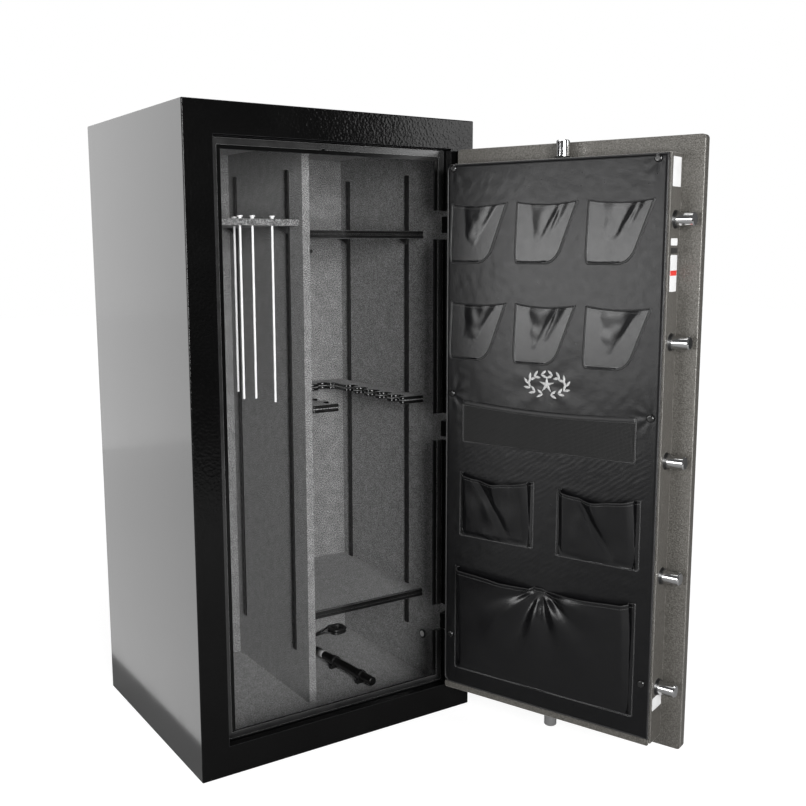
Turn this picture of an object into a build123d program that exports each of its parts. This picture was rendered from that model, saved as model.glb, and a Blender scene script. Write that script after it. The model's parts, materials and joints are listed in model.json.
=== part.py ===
from build123d import *
import os
from math import acos, cos, pi, radians, sin, tan

# Free-standing steel gun safe with its door open on concealed gooseneck hinges.
# Millimetres. +Z is up, the door faces -Y when shut, +X is the hinge side.
# The origin is the middle of the safe's underside, on the floor.
# Door pieces are drawn with the door shut, then turned about the hinge axis.

# Safe body
WIDTH = 762
DEPTH = 638
HEIGHT = 1524
STEEL = 3
HALF_W = WIDTH / 2
FRONT_Y = -DEPTH / 2
BACK_Y = DEPTH / 2
EDGE_RADIUS = 2.5

# Door opening, its stepped jamb and the stop flange behind the door plate
OPENING_HALF_W = 313
OPENING_Z0 = 72
OPENING_Z1 = 1454
FLANGE_HALF_W = 284
FLANGE_Z0 = 92
SEAL_W = 15
SEAL_T = 2.6
FLANGE_Z1 = 1426
FLANGE_Y = -290
FLANGE_T = 4

# Inner faces of the carpeted lining
LINING_HALF_W = 362
LINING_BACK_Y = 300
FLOOR_Z = 23
CEILING_Z = 1468
CARPET = 3
LINING_FRONT_Y = FLANGE_Y + FLANGE_T + 2

# Concealed hinges
HINGE_X = 330
HINGE_Y = -308
DOOR_OPEN_ANGLE = 110
HINGE_HEIGHTS = (250, 760, 1270)
PIN_R = 4
PIN_CLEARANCE = 0.05
KNUCKLE_R = 7.5
ARM_T = 8
ARM_H = 40
ARM_REACH_Y = 40
EAR_H = 10
EAR_GAP = 0.5
ARM_SLOT_H = ARM_H + 2 * EAR_H + 10

# Door plate, shut
PLATE_X0 = -311
PLATE_X1 = 309
PLATE_Z0 = 75
PLATE_Z1 = 1451
PLATE_FRONT_Y = -317
PLATE_BACK_Y = -293
PLATE_STEEL = 4
PLATE_CORNER_R = 9
INNER_SKIN = 2
NUB_X = -30
NUB_Z = 1432
NUB_R = 5

# Boltwork box behind the door plate
BOX_X0 = -262
BOX_X1 = 277
BOX_Z0 = 100
BOX_Z1 = 1412
BOX_Y1 = -235
BOX_STEEL = 3
COVER_T = 3
PANEL_T = 3
COVER_Z0 = 94
PANEL_X0 = -258
PANEL_X1 = 296
PANEL_Z0 = 110
PANEL_Z1 = 1411
PANEL_FACE_Y = BOX_Y1 + COVER_T + PANEL_T

# Pockets of the door organiser
UPPER_POCKET_W = 154
UPPER_POCKET_H = 138
UPPER_POCKET_SLANT = 52
UPPER_POCKET_T = 10
UPPER_POCKET_XS = (284, 104, -76)
UPPER_POCKET_TOPS = (1318, 1086)
MESH_T = 5
LOWER_POCKET_T = 26
BOTTOM_POCKET_T = 30

# Bolts, thrown
BOLT_R = 15
BOLT_Y = -266
BOLT_CHAMFER = 2.5
BOLT_FIT = 0.3
SIDE_BOLT_PITCH = 262
SIDE_BOLT_MID_Z = 750
SIDE_BOLT_TIP_X = -306
SIDE_BOLT_LENGTH = 88
TOP_BOLT_TIP_Z = 1454
BOTTOM_BOLT_TIP_Z = 58
END_BOLT_LENGTH = 112
COLLAR_R = 20
COLLAR_H = 6

# Rack-and-pinion drive of the boltwork
SHAFT_X = 8
SHAFT_Z = 700
SHAFT_R = 8
MODULE = 2
SMALL_TEETH = 17
LARGE_TEETH = 28
ADDENDUM = 0.8 * MODULE
DEDENDUM = 1.1 * MODULE
BACKLASH = 0.35
PRESSURE = radians(20)
SMALL_GEAR_Y = -262
LARGE_GEAR_Y = -276
GEAR_T = 8
BAR_X0 = -224
BAR_X1 = -184
BAR_T = 6
SMALL_RACK_TEETH = 11
LARGE_RACK_TEETH = 17
RACK_BACK = 12
END_BAR_X0 = 50
END_BAR_X1 = 62

# Handle and dial on the front of the door
DIAL_Z = 930
DIAL_R = 34
DIAL_RING_R = 46
HUB_R = 30
SPOKES = 5
SPOKE_LENGTH = 112
SPOKE_R = 7

# Interior furniture
DIVIDER_X0 = 0
DIVIDER_X1 = 20
DIVIDER_Y0 = -130
STANDARD_YS = (255, -55)
STANDARD_Z0 = 150
STANDARD_Z1 = 1406
STANDARD_W = 15
STANDARD_T = 4
STANDARD_ROOM = 10
SLOT_PITCH = 25.4
SLOT_W = 4
SLOT_H = 15
BOARD_T = 16
TRIM_H = 20
TRIM_T = 9
SHELF_FRONT_Y = -122
UPPER_SHELF_TOP = 1256
LOWER_SHELF_TOP = 268
LEFT_SHELF_TOP = 1284
LEFT_SHELF_FRONT_Y = -114
REST_TOP = 818
REST_T = 20
REST_DEPTH = 67
REST_FRONT_Y = -130
NOTCH_R = 21
NOTCH_PITCH = 60.5
SHELF_GAP = 0.5

# Rifle rods that hang through the left shelf
ROD_R = 3
ROD_SPOTS = ((-112, 24, 440), (-149, -90, 442), (-118, -94, 443), (-66, -96, 456))
ROD_NECK_R = 4.5
ROD_NECK_H = 5
ROD_HEAD_R = 7
ROD_HEAD_T = 3

# Heating rod on the floor, its cord and its plug
HEATER_R = 12
HEATER_LENGTH = 286
HEATER_X = 177
HEATER_Y = -2
HEATER_Z = 43
HEATER_TURN = -4.4
CORD_R = 2.5
COIL_X = 315
COIL_Y = 270
COIL_SIZE = 56
COIL_H = 18

# Anchor holes in the floor
ANCHOR_X = 203
ANCHOR_Y = 150
ANCHOR_R = 7


def block(x0, x1, y0, y1, z0, z1):
    """A box between two opposite corners."""
    size = Box(x1 - x0, y1 - y0, z1 - z0)
    return Pos((x0 + x1) / 2, (y0 + y1) / 2, (z0 + z1) / 2) * size


def ring(x0, x1, z0, z1, inset, y0, y1):
    """A rectangular frame in the XZ plane, inset wide, between two Y planes."""
    outer = block(x0, x1, y0, y1, z0, z1)
    return outer - block(x0 + inset, x1 - inset, y0 - 1, y1 + 1, z0 + inset, z1 - inset)


def along_x(x, y, z, r, length):
    """A rod along X from x, length long, towards +X."""
    return Pos(x + length / 2, y, z) * Rot(0, 90, 0) * Cylinder(r, length)


def along_y(x, y, z, r, length):
    """A rod along Y from y, length long, towards +Y."""
    return Pos(x, y + length / 2, z) * Rot(90, 0, 0) * Cylinder(r, length)


def along_z(x, y, z, r, length):
    """An upright rod from z, length long."""
    return Pos(x, y, z + length / 2) * Cylinder(r, length)


def group(solids):
    """Separate solids kept in one node."""
    return Compound(children=[s for item in solids for s in item.solids()])


def opened(shape):
    """Turns a door piece from shut to open about the hinge axis."""
    return shape.rotate(Axis((HINGE_X, HINGE_Y, 0), (0, 0, 1)), DOOR_OPEN_ANGLE)


# ---------------------------------------------------------------- safe body

def anchor_spots():
    return [(sx * ANCHOR_X, sy * ANCHOR_Y) for sx in (-1, 1) for sy in (-1, 1)]


def drill_anchors(shape):
    """Drills the four anchor holes, which stop under the floor carpet."""
    for x, y in anchor_spots():
        shape -= along_z(x, y, -5, ANCHOR_R, FLOOR_Z - CARPET + 5)
    return shape


def body_shell():
    """Folded steel body, open at the front."""
    outer = block(-HALF_W, HALF_W, FRONT_Y + STEEL, BACK_Y, 0, HEIGHT)
    outer = fillet(outer.edges().filter_by(Axis.Y), EDGE_RADIUS)
    inner = block(
        -HALF_W + STEEL, HALF_W - STEEL, FRONT_Y, BACK_Y - STEEL, STEEL, HEIGHT - STEEL
    )
    return drill_anchors(outer - inner)


def hinge_slots():
    """Gaps in the hinge-side jamb and flange that the hinge arms swing through."""
    return [
        block(
            FLANGE_HALF_W - 8, OPENING_HALF_W + STEEL + 0.5,
            FRONT_Y + STEEL, FLANGE_Y + FLANGE_T + 1,
            z - ARM_SLOT_H / 2, z + ARM_SLOT_H / 2,
        )
        for z in HINGE_HEIGHTS
    ]


def front_frame():
    """Front plate, folded jamb and stop flange, welded into one frame."""
    plate = block(-HALF_W, HALF_W, FRONT_Y, FRONT_Y + STEEL, 0, HEIGHT)
    plate = fillet(plate.edges().filter_by(Axis.Y), EDGE_RADIUS)
    plate = fillet(plate.faces().sort_by(Axis.Y)[0].edges(), EDGE_RADIUS)
    plate -= block(
        -OPENING_HALF_W, OPENING_HALF_W, FRONT_Y - 1, FRONT_Y + STEEL + 1,
        OPENING_Z0, OPENING_Z1,
    )
    jamb = ring(
        -OPENING_HALF_W - STEEL, OPENING_HALF_W + STEEL,
        OPENING_Z0 - STEEL, OPENING_Z1 + STEEL, STEEL,
        FRONT_Y + STEEL, FLANGE_Y + FLANGE_T,
    )
    flange_y1 = FLANGE_Y + FLANGE_T
    flange = block(
        -OPENING_HALF_W, OPENING_HALF_W, FLANGE_Y, flange_y1, OPENING_Z0, OPENING_Z1
    )
    flange -= block(
        -FLANGE_HALF_W, FLANGE_HALF_W, FLANGE_Y - 1, flange_y1 + 1, FLANGE_Z0, FLANGE_Z1
    )
    frame = plate + jamb + flange
    for slot in hinge_slots():
        frame -= slot
    return frame


def door_seal():
    """Heat-expanding seal on the front of the stop flange."""
    seal = ring(
        -OPENING_HALF_W + 4, OPENING_HALF_W - 4, OPENING_Z0 + 4, OPENING_Z1 - 4,
        SEAL_W, FLANGE_Y - SEAL_T, FLANGE_Y,
    )
    for slot in hinge_slots():
        seal -= slot
    return seal - along_y(NUB_X, FLANGE_Y - 4, NUB_Z, NUB_R + 2, 6)


def linings():
    """Fireboards against the shell and the carpet that covers them."""
    w, f, b = LINING_HALF_W, LINING_FRONT_Y, LINING_BACK_Y
    shell_x = HALF_W - STEEL
    shell_y = BACK_Y - STEEL
    boards = [
        drill_anchors(block(-shell_x, shell_x, f, shell_y, STEEL, FLOOR_Z - CARPET)),
        block(-shell_x, shell_x, f, shell_y, CEILING_Z + CARPET, HEIGHT - STEEL),
        block(-shell_x, shell_x, b + CARPET, shell_y, FLOOR_Z, CEILING_Z),
        block(-shell_x, -w - CARPET, f, b + CARPET, FLOOR_Z, CEILING_Z),
        block(w + CARPET, shell_x, f, b + CARPET, FLOOR_Z, CEILING_Z),
    ]
    walls = block(-w - CARPET, w + CARPET, f, b + CARPET, FLOOR_Z, CEILING_Z)
    walls -= block(-w, w, f - 1, b, FLOOR_Z - 1, CEILING_Z + 1)
    return {
        "fireboards": group(boards),
        "carpet_walls": walls,
        "carpet_floor": block(-shell_x, shell_x, f, shell_y, FLOOR_Z - CARPET, FLOOR_Z),
        "carpet_ceiling": block(
            -shell_x, shell_x, f, shell_y, CEILING_Z, CEILING_Z + CARPET
        ),
    }


def standard(x0, y):
    """One slotted standard, flat on a wall."""
    strip = block(
        x0, x0 + STANDARD_T, y - STANDARD_W / 2, y + STANDARD_W / 2, STANDARD_Z0, STANDARD_Z1
    )
    count = int((STANDARD_Z1 - STANDARD_Z0) / SLOT_PITCH)
    slots = [
        block(x0 - 1, x0 + STANDARD_T + 1, y - SLOT_W / 2, y + SLOT_W / 2, z, z + SLOT_H)
        for z in (STANDARD_Z0 + 5 + i * SLOT_PITCH for i in range(count))
    ]
    return strip - slots


def shelf_standards():
    """Two slotted standards on each side wall and on each face of the divider."""
    walls = (
        -LINING_HALF_W, DIVIDER_X0 - STANDARD_T, DIVIDER_X1, LINING_HALF_W - STANDARD_T
    )
    return group([standard(x0, y) for x0 in walls for y in STANDARD_YS])


def clip(x_wall, side, y, top):
    """A shelf clip hooked into a standard: a plate with a sloping web below it."""
    x_in = x_wall + side * STANDARD_T
    points = [(0, 0), (side * 24, 0), (side * 24, -3), (side * 3, -17), (0, -17)]
    profile = Plane.XZ * make_face(Polyline(*points, close=True))
    web = extrude(profile, amount=5)
    return Pos(x_in, y + 2.5, top) * web


def shelf_clips():
    """Clips under each shelf, two on each wall that it meets."""
    left_walls = ((-LINING_HALF_W, 1), (DIVIDER_X0, -1))
    right_walls = ((DIVIDER_X1, 1), (LINING_HALF_W, -1))
    shelves = (
        (left_walls, LEFT_SHELF_TOP), (right_walls, UPPER_SHELF_TOP),
        (right_walls, LOWER_SHELF_TOP),
    )
    return group(
        [
            clip(x, side, y, top - BOARD_T)
            for walls, top in shelves for x, side in walls for y in STANDARD_YS
        ]
    )


def trim(x0, x1, top):
    """Shelf edge moulding with two ridges along its face."""
    y0 = SHELF_FRONT_Y - TRIM_T
    body = block(x0, x1, y0 + 2, SHELF_FRONT_Y, top - TRIM_H + 2, top + 2)
    ridges = [
        block(x0, x1, y0, y0 + 2, z, z + TRIM_H * 0.36)
        for z in (top - TRIM_H + 3, top + 1 - TRIM_H * 0.36)
    ]
    for ridge in ridges:
        body += fillet(ridge.faces().sort_by(Axis.Y)[0].edges().filter_by(Axis.X), 1.6)
    return body


def left_shelf():
    """Shelf over the long-gun side, drilled where the rods hang."""
    shelf = block(
        -LINING_HALF_W + SHELF_GAP, DIVIDER_X0 - SHELF_GAP,
        LEFT_SHELF_FRONT_Y, LINING_BACK_Y - SHELF_GAP,
        LEFT_SHELF_TOP - BOARD_T, LEFT_SHELF_TOP,
    )
    for y in STANDARD_YS:
        for x in (-LINING_HALF_W, DIVIDER_X0):
            shelf -= block(
                x - STANDARD_T - 1, x + STANDARD_T + 1, y - STANDARD_ROOM, y + STANDARD_ROOM,
                LEFT_SHELF_TOP - BOARD_T - 1, LEFT_SHELF_TOP + 1,
            )
    for x, y, _ in ROD_SPOTS:
        shelf -= along_z(x, y, LEFT_SHELF_TOP - BOARD_T - 1, ROD_R + 0.3, BOARD_T + 2)
    return shelf


def right_shelf(top):
    """Shelf between the divider and the right wall, notched for the standards."""
    shelf = block(
        DIVIDER_X1 + SHELF_GAP, LINING_HALF_W - SHELF_GAP,
        SHELF_FRONT_Y, LINING_BACK_Y - SHELF_GAP, top - BOARD_T, top,
    )
    for y in STANDARD_YS:
        for x in (DIVIDER_X1, LINING_HALF_W):
            shelf -= block(
                x - STANDARD_T - 1, x + STANDARD_T + 1, y - STANDARD_ROOM, y + STANDARD_ROOM,
                top - BOARD_T - 1, top + 1,
            )
    return shelf


def rifle_rods():
    """Plastic rods with necked, flat heads, dropped through the shelf."""
    rods = []
    for x, y, length in ROD_SPOTS:
        rod = along_z(x, y, LEFT_SHELF_TOP + ROD_HEAD_T - length, ROD_R, length)
        rod += along_z(x, y, LEFT_SHELF_TOP, ROD_NECK_R, ROD_NECK_H)
        rods.append(rod + along_z(x, y, LEFT_SHELF_TOP + ROD_NECK_H, ROD_HEAD_R, ROD_HEAD_T))
    return group(rods)


def rest_right():
    """L-shaped barrel rest along the back and right walls."""
    x1 = LINING_HALF_W - SHELF_GAP
    y1 = LINING_BACK_Y - SHELF_GAP
    z0 = REST_TOP - REST_T
    rest = block(x1 - REST_DEPTH, x1, REST_FRONT_Y, y1, z0, REST_TOP)
    rest += block(DIVIDER_X1 + SHELF_GAP, x1, y1 - REST_DEPTH, y1, z0, REST_TOP)
    edge_x = x1 - REST_DEPTH
    edge_y = y1 - REST_DEPTH
    for i in range(5):
        y = REST_FRONT_Y + 34 + i * NOTCH_PITCH
        rest -= along_z(edge_x + 4, y, z0 - 1, NOTCH_R, REST_T + 2)
        rest -= block(edge_x - 2, edge_x + 4, y - NOTCH_R, y + NOTCH_R, z0 - 1, REST_TOP + 1)
    for i in range(4):
        x = edge_x - 16 - i * NOTCH_PITCH
        rest -= along_z(x - NOTCH_R, edge_y + 4, z0 - 1, NOTCH_R, REST_T + 2)
        rest -= block(x - 2 * NOTCH_R, x, edge_y - 2, edge_y + 4, z0 - 1, REST_TOP + 1)
    room = STANDARD_ROOM
    for y in STANDARD_YS:
        rest -= block(x1 - STANDARD_T - 1, x1 + 1, y - room, y + room, z0 - 1, REST_TOP + 1)
    x0 = DIVIDER_X1
    y = STANDARD_YS[0]
    return rest - block(x0, x0 + STANDARD_T + 1, y - room, y + room, z0 - 1, REST_TOP + 1)


def rest_divider():
    """Straight barrel rest on the divider's right face."""
    x0 = DIVIDER_X1 + SHELF_GAP
    y1 = LINING_BACK_Y - REST_DEPTH - 40
    z0 = REST_TOP - REST_T
    rest = block(x0, x0 + REST_DEPTH + 5, REST_FRONT_Y - 4, y1, z0, REST_TOP)
    edge_x = x0 + REST_DEPTH + 5
    for i in range(5):
        y = REST_FRONT_Y + 24 + i * NOTCH_PITCH
        rest -= along_z(edge_x - 4, y, z0 - 1, NOTCH_R, REST_T + 2)
        rest -= block(edge_x - 4, edge_x + 2, y - NOTCH_R, y + NOTCH_R, z0 - 1, REST_TOP + 1)
    y0, y1 = STANDARD_YS[1] - STANDARD_ROOM, STANDARD_YS[1] + STANDARD_ROOM
    return rest - block(x0 - 1, x0 + STANDARD_T + 1, y0, y1, z0 - 1, REST_TOP + 1)


def cable_port():
    """Round cable port in the right wall: black surround and white cap."""
    y, z = -134, 140
    surround = along_x(LINING_HALF_W - 3, y, z, 13, 3)
    surround -= along_x(LINING_HALF_W - 4, y, z, 8.3, 6)
    cap = along_x(LINING_HALF_W - 5, y, z, 8, 5)
    return surround, cap


def hinge_ears():
    """Hinge ears welded behind the front plate, above and below each arm."""
    ears = []
    for z in HINGE_HEIGHTS:
        for side in (-1, 1):
            inner = z + side * (ARM_H / 2 + EAR_GAP)
            outer = inner + side * EAR_H
            low, high = min(inner, outer), max(inner, outer)
            ear = block(HINGE_X - 9, HINGE_X + 24, FRONT_Y + STEEL, HINGE_Y + 9, low, high)
            ears.append(ear - along_z(HINGE_X, HINGE_Y, low - 1, PIN_R, EAR_H + 2))
    return group(ears)


def hinge_pins():
    """Hinge pins, pressed into the ears."""
    length = ARM_H + 2 * EAR_GAP + 2 * EAR_H
    return group(
        [along_z(HINGE_X, HINGE_Y, z - length / 2, PIN_R, length) for z in HINGE_HEIGHTS]
    )


# --------------------------------------------------------------------- door

def hinge_arm(z):
    """Gooseneck arm from the hinge pin round the jamb to the boltwork box."""
    z0, z1 = z - ARM_H / 2, z + ARM_H / 2
    arm = along_z(HINGE_X, HINGE_Y, z0, KNUCKLE_R, ARM_H)
    arm += block(HINGE_X, HINGE_X + ARM_T, HINGE_Y, HINGE_Y + ARM_REACH_Y, z0, z1)
    arm += block(
        BOX_X1, HINGE_X + ARM_T, HINGE_Y + ARM_REACH_Y - ARM_T, HINGE_Y + ARM_REACH_Y, z0, z1
    )
    return arm - along_z(HINGE_X, HINGE_Y, z0 - 1, PIN_R + PIN_CLEARANCE, ARM_H + 2)


def door_pan():
    """Front plate of the door with folded rims."""
    pan = block(PLATE_X0, PLATE_X1, PLATE_FRONT_Y, PLATE_BACK_Y - INNER_SKIN, PLATE_Z0, PLATE_Z1)
    pan = fillet(pan.edges().filter_by(Axis.Y), PLATE_CORNER_R)
    pan = fillet(pan.faces().sort_by(Axis.Y)[0].edges(), 2.5)
    inner = block(
        PLATE_X0 + PLATE_STEEL, PLATE_X1 - PLATE_STEEL,
        PLATE_FRONT_Y + PLATE_STEEL, PLATE_BACK_Y,
        PLATE_Z0 + PLATE_STEEL, PLATE_Z1 - PLATE_STEEL,
    )
    pan -= fillet(inner.edges().filter_by(Axis.Y), PLATE_CORNER_R - PLATE_STEEL)
    pan -= along_y(SHAFT_X, PLATE_FRONT_Y - 1, SHAFT_Z, SHAFT_R + 1, 8)
    return pan - along_y(SHAFT_X, PLATE_FRONT_Y - 1, DIAL_Z, 5, 8)


def door_fireboard():
    """Fireboard that fills the door pan."""
    inset = PLATE_STEEL + 0.5
    board = block(
        PLATE_X0 + inset, PLATE_X1 - inset, PLATE_FRONT_Y + PLATE_STEEL,
        PLATE_BACK_Y - INNER_SKIN, PLATE_Z0 + inset, PLATE_Z1 - inset,
    )
    board = fillet(board.edges().filter_by(Axis.Y), PLATE_CORNER_R - PLATE_STEEL)
    board -= along_y(SHAFT_X, PLATE_FRONT_Y, SHAFT_Z, SHAFT_R + 2, 30)
    return board - along_y(SHAFT_X, PLATE_FRONT_Y, DIAL_Z, 6, 30)


def door_inner_skin():
    """Inner steel skin that closes the pan, with a rolled edge all round."""
    skin = block(
        PLATE_X0, PLATE_X1, PLATE_BACK_Y - INNER_SKIN, PLATE_BACK_Y, PLATE_Z0, PLATE_Z1
    )
    skin = fillet(skin.edges().filter_by(Axis.Y), PLATE_CORNER_R)
    skin = fillet(skin.faces().sort_by(Axis.Y)[-1].edges(), 1.6)
    nub = along_y(NUB_X, PLATE_BACK_Y, NUB_Z, NUB_R, 1.8)
    skin += fillet(nub.faces().sort_by(Axis.Y)[-1].edges(), 1.2)
    skin -= along_y(SHAFT_X, PLATE_BACK_Y - 5, SHAFT_Z, SHAFT_R + 1, 10)
    return skin - along_y(SHAFT_X, PLATE_BACK_Y - 5, DIAL_Z, 5, 10)


def side_bolt_heights():
    return [SIDE_BOLT_MID_Z + i * SIDE_BOLT_PITCH for i in (-2, -1, 0, 1, 2)]


def door_box():
    """Steel box around the boltwork, bored for the bolts."""
    box = ring(BOX_X0, BOX_X1, BOX_Z0, BOX_Z1, BOX_STEEL, PLATE_BACK_Y, BOX_Y1)
    hole = BOLT_R + 1
    for z in side_bolt_heights():
        box -= along_x(BOX_X0 - 1, BOLT_Y, z, hole, BOX_STEEL + 2)
    for z in (BOX_Z0 - 1, BOX_Z1 - BOX_STEEL - 1):
        box -= along_z(SHAFT_X, BOLT_Y, z, hole, BOX_STEEL + 2)
    return box


def collar():
    """Moulded bolt collar, axis +Z, its foot on the plane below it."""
    flare = Pos(0, 0, COLLAR_H / 2) * Cone(COLLAR_R, BOLT_R + 2, COLLAR_H)
    return flare - along_z(0, 0, -1, BOLT_R + BOLT_FIT, COLLAR_H + 2)


def bolt_collars():
    """Collars around the five side bolts and the two end bolts."""
    collars = [
        Pos(BOX_X0, BOLT_Y, z) * Rot(0, -90, 0) * collar() for z in side_bolt_heights()
    ]
    collars.append(Pos(SHAFT_X, BOLT_Y, BOX_Z1) * collar())
    collars.append(Pos(SHAFT_X, BOLT_Y, BOX_Z0) * Rot(180, 0, 0) * collar())
    return group(collars)


def bolt(length):
    """A round bolt standing on the origin, its tip chamfered."""
    pin = along_z(0, 0, 0, BOLT_R, length)
    return chamfer(pin.edges().sort_by(Axis.Z)[-1], BOLT_CHAMFER)


def side_bolts():
    """Five bolts on the opening side."""
    base = SIDE_BOLT_TIP_X + SIDE_BOLT_LENGTH
    return group(
        [
            Pos(base, BOLT_Y, z) * Rot(0, -90, 0) * bolt(SIDE_BOLT_LENGTH)
            for z in side_bolt_heights()
        ]
    )


def involute(r, base):
    """Involute angle at radius r of a gear with this base radius."""
    if r <= base:
        return 0.0
    a = acos(base / r)
    return tan(a) - a


def pinion(teeth, y):
    """A spur gear on the handle shaft, its teeth cut as involutes."""
    pitch_r = MODULE * teeth / 2
    base = pitch_r * cos(PRESSURE)
    tip_r = pitch_r + ADDENDUM
    root_r = pitch_r - DEDENDUM
    half = pi / (2 * teeth) - BACKLASH / (2 * pitch_r) + involute(pitch_r, base)
    start = max(base, root_r)
    radii = [start + (tip_r - start) * i / 5 for i in range(6)]
    points = []
    for k in range(teeth):
        mid = 2 * pi * k / teeth
        low = [(root_r, -half)] + [(r, -half + involute(r, base)) for r in radii]
        high = [(r, -a) for r, a in reversed(low)]
        points += [(r * cos(mid + a), r * sin(mid + a)) for r, a in low + high]
    gear = extrude(make_face(Polyline(*points, close=True)), amount=GEAR_T)
    return Pos(SHAFT_X, y + GEAR_T / 2, SHAFT_Z) * Rot(90, 0, 0) * gear


def rack(count, back):
    """A rack along +X with its teeth towards -Y, its pitch line on the X axis."""
    pitch = pi * MODULE
    half = pitch / 4 - BACKLASH / 2
    low, high = half + DEDENDUM * tan(PRESSURE), half - ADDENDUM * tan(PRESSURE)
    bar = Pos(0, (DEDENDUM + back) / 2, 0) * Rectangle(count * pitch, back - DEDENDUM)
    for i in range(count):
        x = (i - (count - 1) / 2) * pitch
        tooth = [(x - low, DEDENDUM), (x - high, -ADDENDUM), (x + high, -ADDENDUM)]
        tooth += [(x + low, DEDENDUM)]
        bar += make_face(Polyline(*tooth, close=True))
    return extrude(bar, amount=GEAR_T)


def side_bolt_carriage():
    """Upright bar that carries the side bolts, with the arm and rack that drive it."""
    heights = side_bolt_heights()
    y1 = BOLT_Y + BOLT_R
    bar_y0 = y1 + 0.5
    bar = block(BAR_X0, BAR_X1, bar_y0, bar_y0 + BAR_T, heights[0] - 24, heights[-1] + 24)
    for z in heights:
        bar += block(
            SIDE_BOLT_TIP_X + SIDE_BOLT_LENGTH, BAR_X1, BOLT_Y - BOLT_R, bar_y0 + BAR_T,
            z - BOLT_R, z + BOLT_R,
        )
    small_r = MODULE * SMALL_TEETH / 2
    pitch_z = SHAFT_Z + small_r
    step = 360 / SMALL_TEETH
    space = (int(90 / step) + 0.5) * step
    shift = -small_r * radians(space - 90)
    teeth = rack(SMALL_RACK_TEETH, RACK_BACK)
    teeth = Pos(SHAFT_X + shift, SMALL_GEAR_Y + GEAR_T / 2, pitch_z) * Rot(90, 0, 0) * teeth
    arm = block(
        BAR_X1 - 1, SHAFT_X + shift - SMALL_RACK_TEETH / 2 * pi * MODULE + 1,
        SMALL_GEAR_Y - GEAR_T / 2, SMALL_GEAR_Y + GEAR_T / 2,
        pitch_z + DEDENDUM, pitch_z + RACK_BACK,
    )
    riser = block(
        BAR_X1 - 12, BAR_X1, SMALL_GEAR_Y - GEAR_T / 2, bar_y0 + BAR_T,
        pitch_z + DEDENDUM, pitch_z + RACK_BACK,
    )
    return bar + riser + arm + teeth


def end_bolt_drive(side):
    """Rack and flat bar that drive the top bolt (side 1) or the bottom bolt (side -1)."""
    pitch = pi * MODULE
    rack_x = SHAFT_X + side * MODULE * LARGE_TEETH / 2
    rack_z = SHAFT_Z + pitch / 2 + side * 3 * pitch
    teeth = Rot(0, 0, -90 * side) * Pos(0, 0, -GEAR_T / 2) * rack(LARGE_RACK_TEETH, RACK_BACK)
    drive = Pos(rack_x, LARGE_GEAR_Y, rack_z) * Rot(90, 0, 0) * teeth

    def piece(x_a, x_b, y1, z_a, z_b):
        """A box whose X is measured outward from the shaft."""
        xs = sorted((SHAFT_X + side * x_a, SHAFT_X + side * x_b))
        return block(*xs, LARGE_GEAR_Y - GEAR_T / 2, y1, *sorted((z_a, z_b)))

    back_y = LARGE_GEAR_Y + GEAR_T / 2
    near = MODULE * LARGE_TEETH / 2 + DEDENDUM
    z_end = rack_z + side * LARGE_RACK_TEETH / 2 * pitch
    bolt_base = end_bolt_tip(side) - side * END_BOLT_LENGTH
    drive += piece(near, END_BAR_X1, back_y, z_end - side * 10, z_end + side * 12)
    drive += piece(END_BAR_X0, END_BAR_X1, back_y, z_end, bolt_base)
    return drive + piece(-10, END_BAR_X1, BOLT_Y + 10, bolt_base - side * 12, bolt_base)


def end_bolt_tip(side):
    return TOP_BOLT_TIP_Z if side > 0 else BOTTOM_BOLT_TIP_Z


def end_bolt(side):
    """Top bolt (side 1) or bottom bolt (side -1)."""
    base = end_bolt_tip(side) - side * END_BOLT_LENGTH
    turn = Rot(0, 0, 0) if side > 0 else Rot(180, 0, 0)
    return Pos(SHAFT_X, BOLT_Y, base) * turn * bolt(END_BOLT_LENGTH)


def shaft_bearing():
    """Bearing block on the inner skin that carries the handle shaft."""
    block_r = SHAFT_R + 8
    bearing = along_y(SHAFT_X, PLATE_BACK_Y, SHAFT_Z, block_r, 10)
    return bearing - along_y(SHAFT_X, PLATE_BACK_Y - 1, SHAFT_Z, SHAFT_R + 0.05, 14)


def bolt_guides():
    """Guides for the bolt bar and the end-bolt bars, and the handle shaft's bearing."""
    guides = []
    y0, y1 = PLATE_BACK_Y, BOX_Y1 - 1
    for z in (330, 1110):
        guide = block(BAR_X0 - 34, BAR_X1 + 34, y0, y1, z - 10, z + 10)
        bar_y = BOLT_Y + BOLT_R + 0.5
        guide -= block(
            BAR_X0 - 32, BAR_X1 + 32, bar_y - 0.4, bar_y + BAR_T + 0.4, z - 11, z + 11
        )
        guides.append(guide)
    for side, z in ((1, 1180), (-1, 330)):
        x0, x1 = sorted((SHAFT_X + side * END_BAR_X0, SHAFT_X + side * END_BAR_X1))
        y2, y3 = LARGE_GEAR_Y - GEAR_T / 2, LARGE_GEAR_Y + GEAR_T / 2
        guide = block(x0 - 8, x1 + 8, y0, y3 + 6, z - 8, z + 8)
        guides.append(
            guide - block(x0 - 0.4, x1 + 0.4, y2 - 0.4, y3 + 0.4, z - 9, z + 9)
        )
    return group(guides + [shaft_bearing()])


def handle_shaft():
    """Handle shaft through the door, with its collar behind the box cover."""
    return along_y(SHAFT_X, PLATE_FRONT_Y - 20, SHAFT_Z, SHAFT_R, 82)


def handle_rose():
    """Round cover plate behind the handle hub."""
    rose = along_y(SHAFT_X, PLATE_FRONT_Y - 4, SHAFT_Z, HUB_R + 12, 4)
    rose = chamfer(rose.faces().sort_by(Axis.Y)[0].edges(), 1.5)
    return rose - along_y(SHAFT_X, PLATE_FRONT_Y - 6, SHAFT_Z, SHAFT_R + 0.5, 8)


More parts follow.
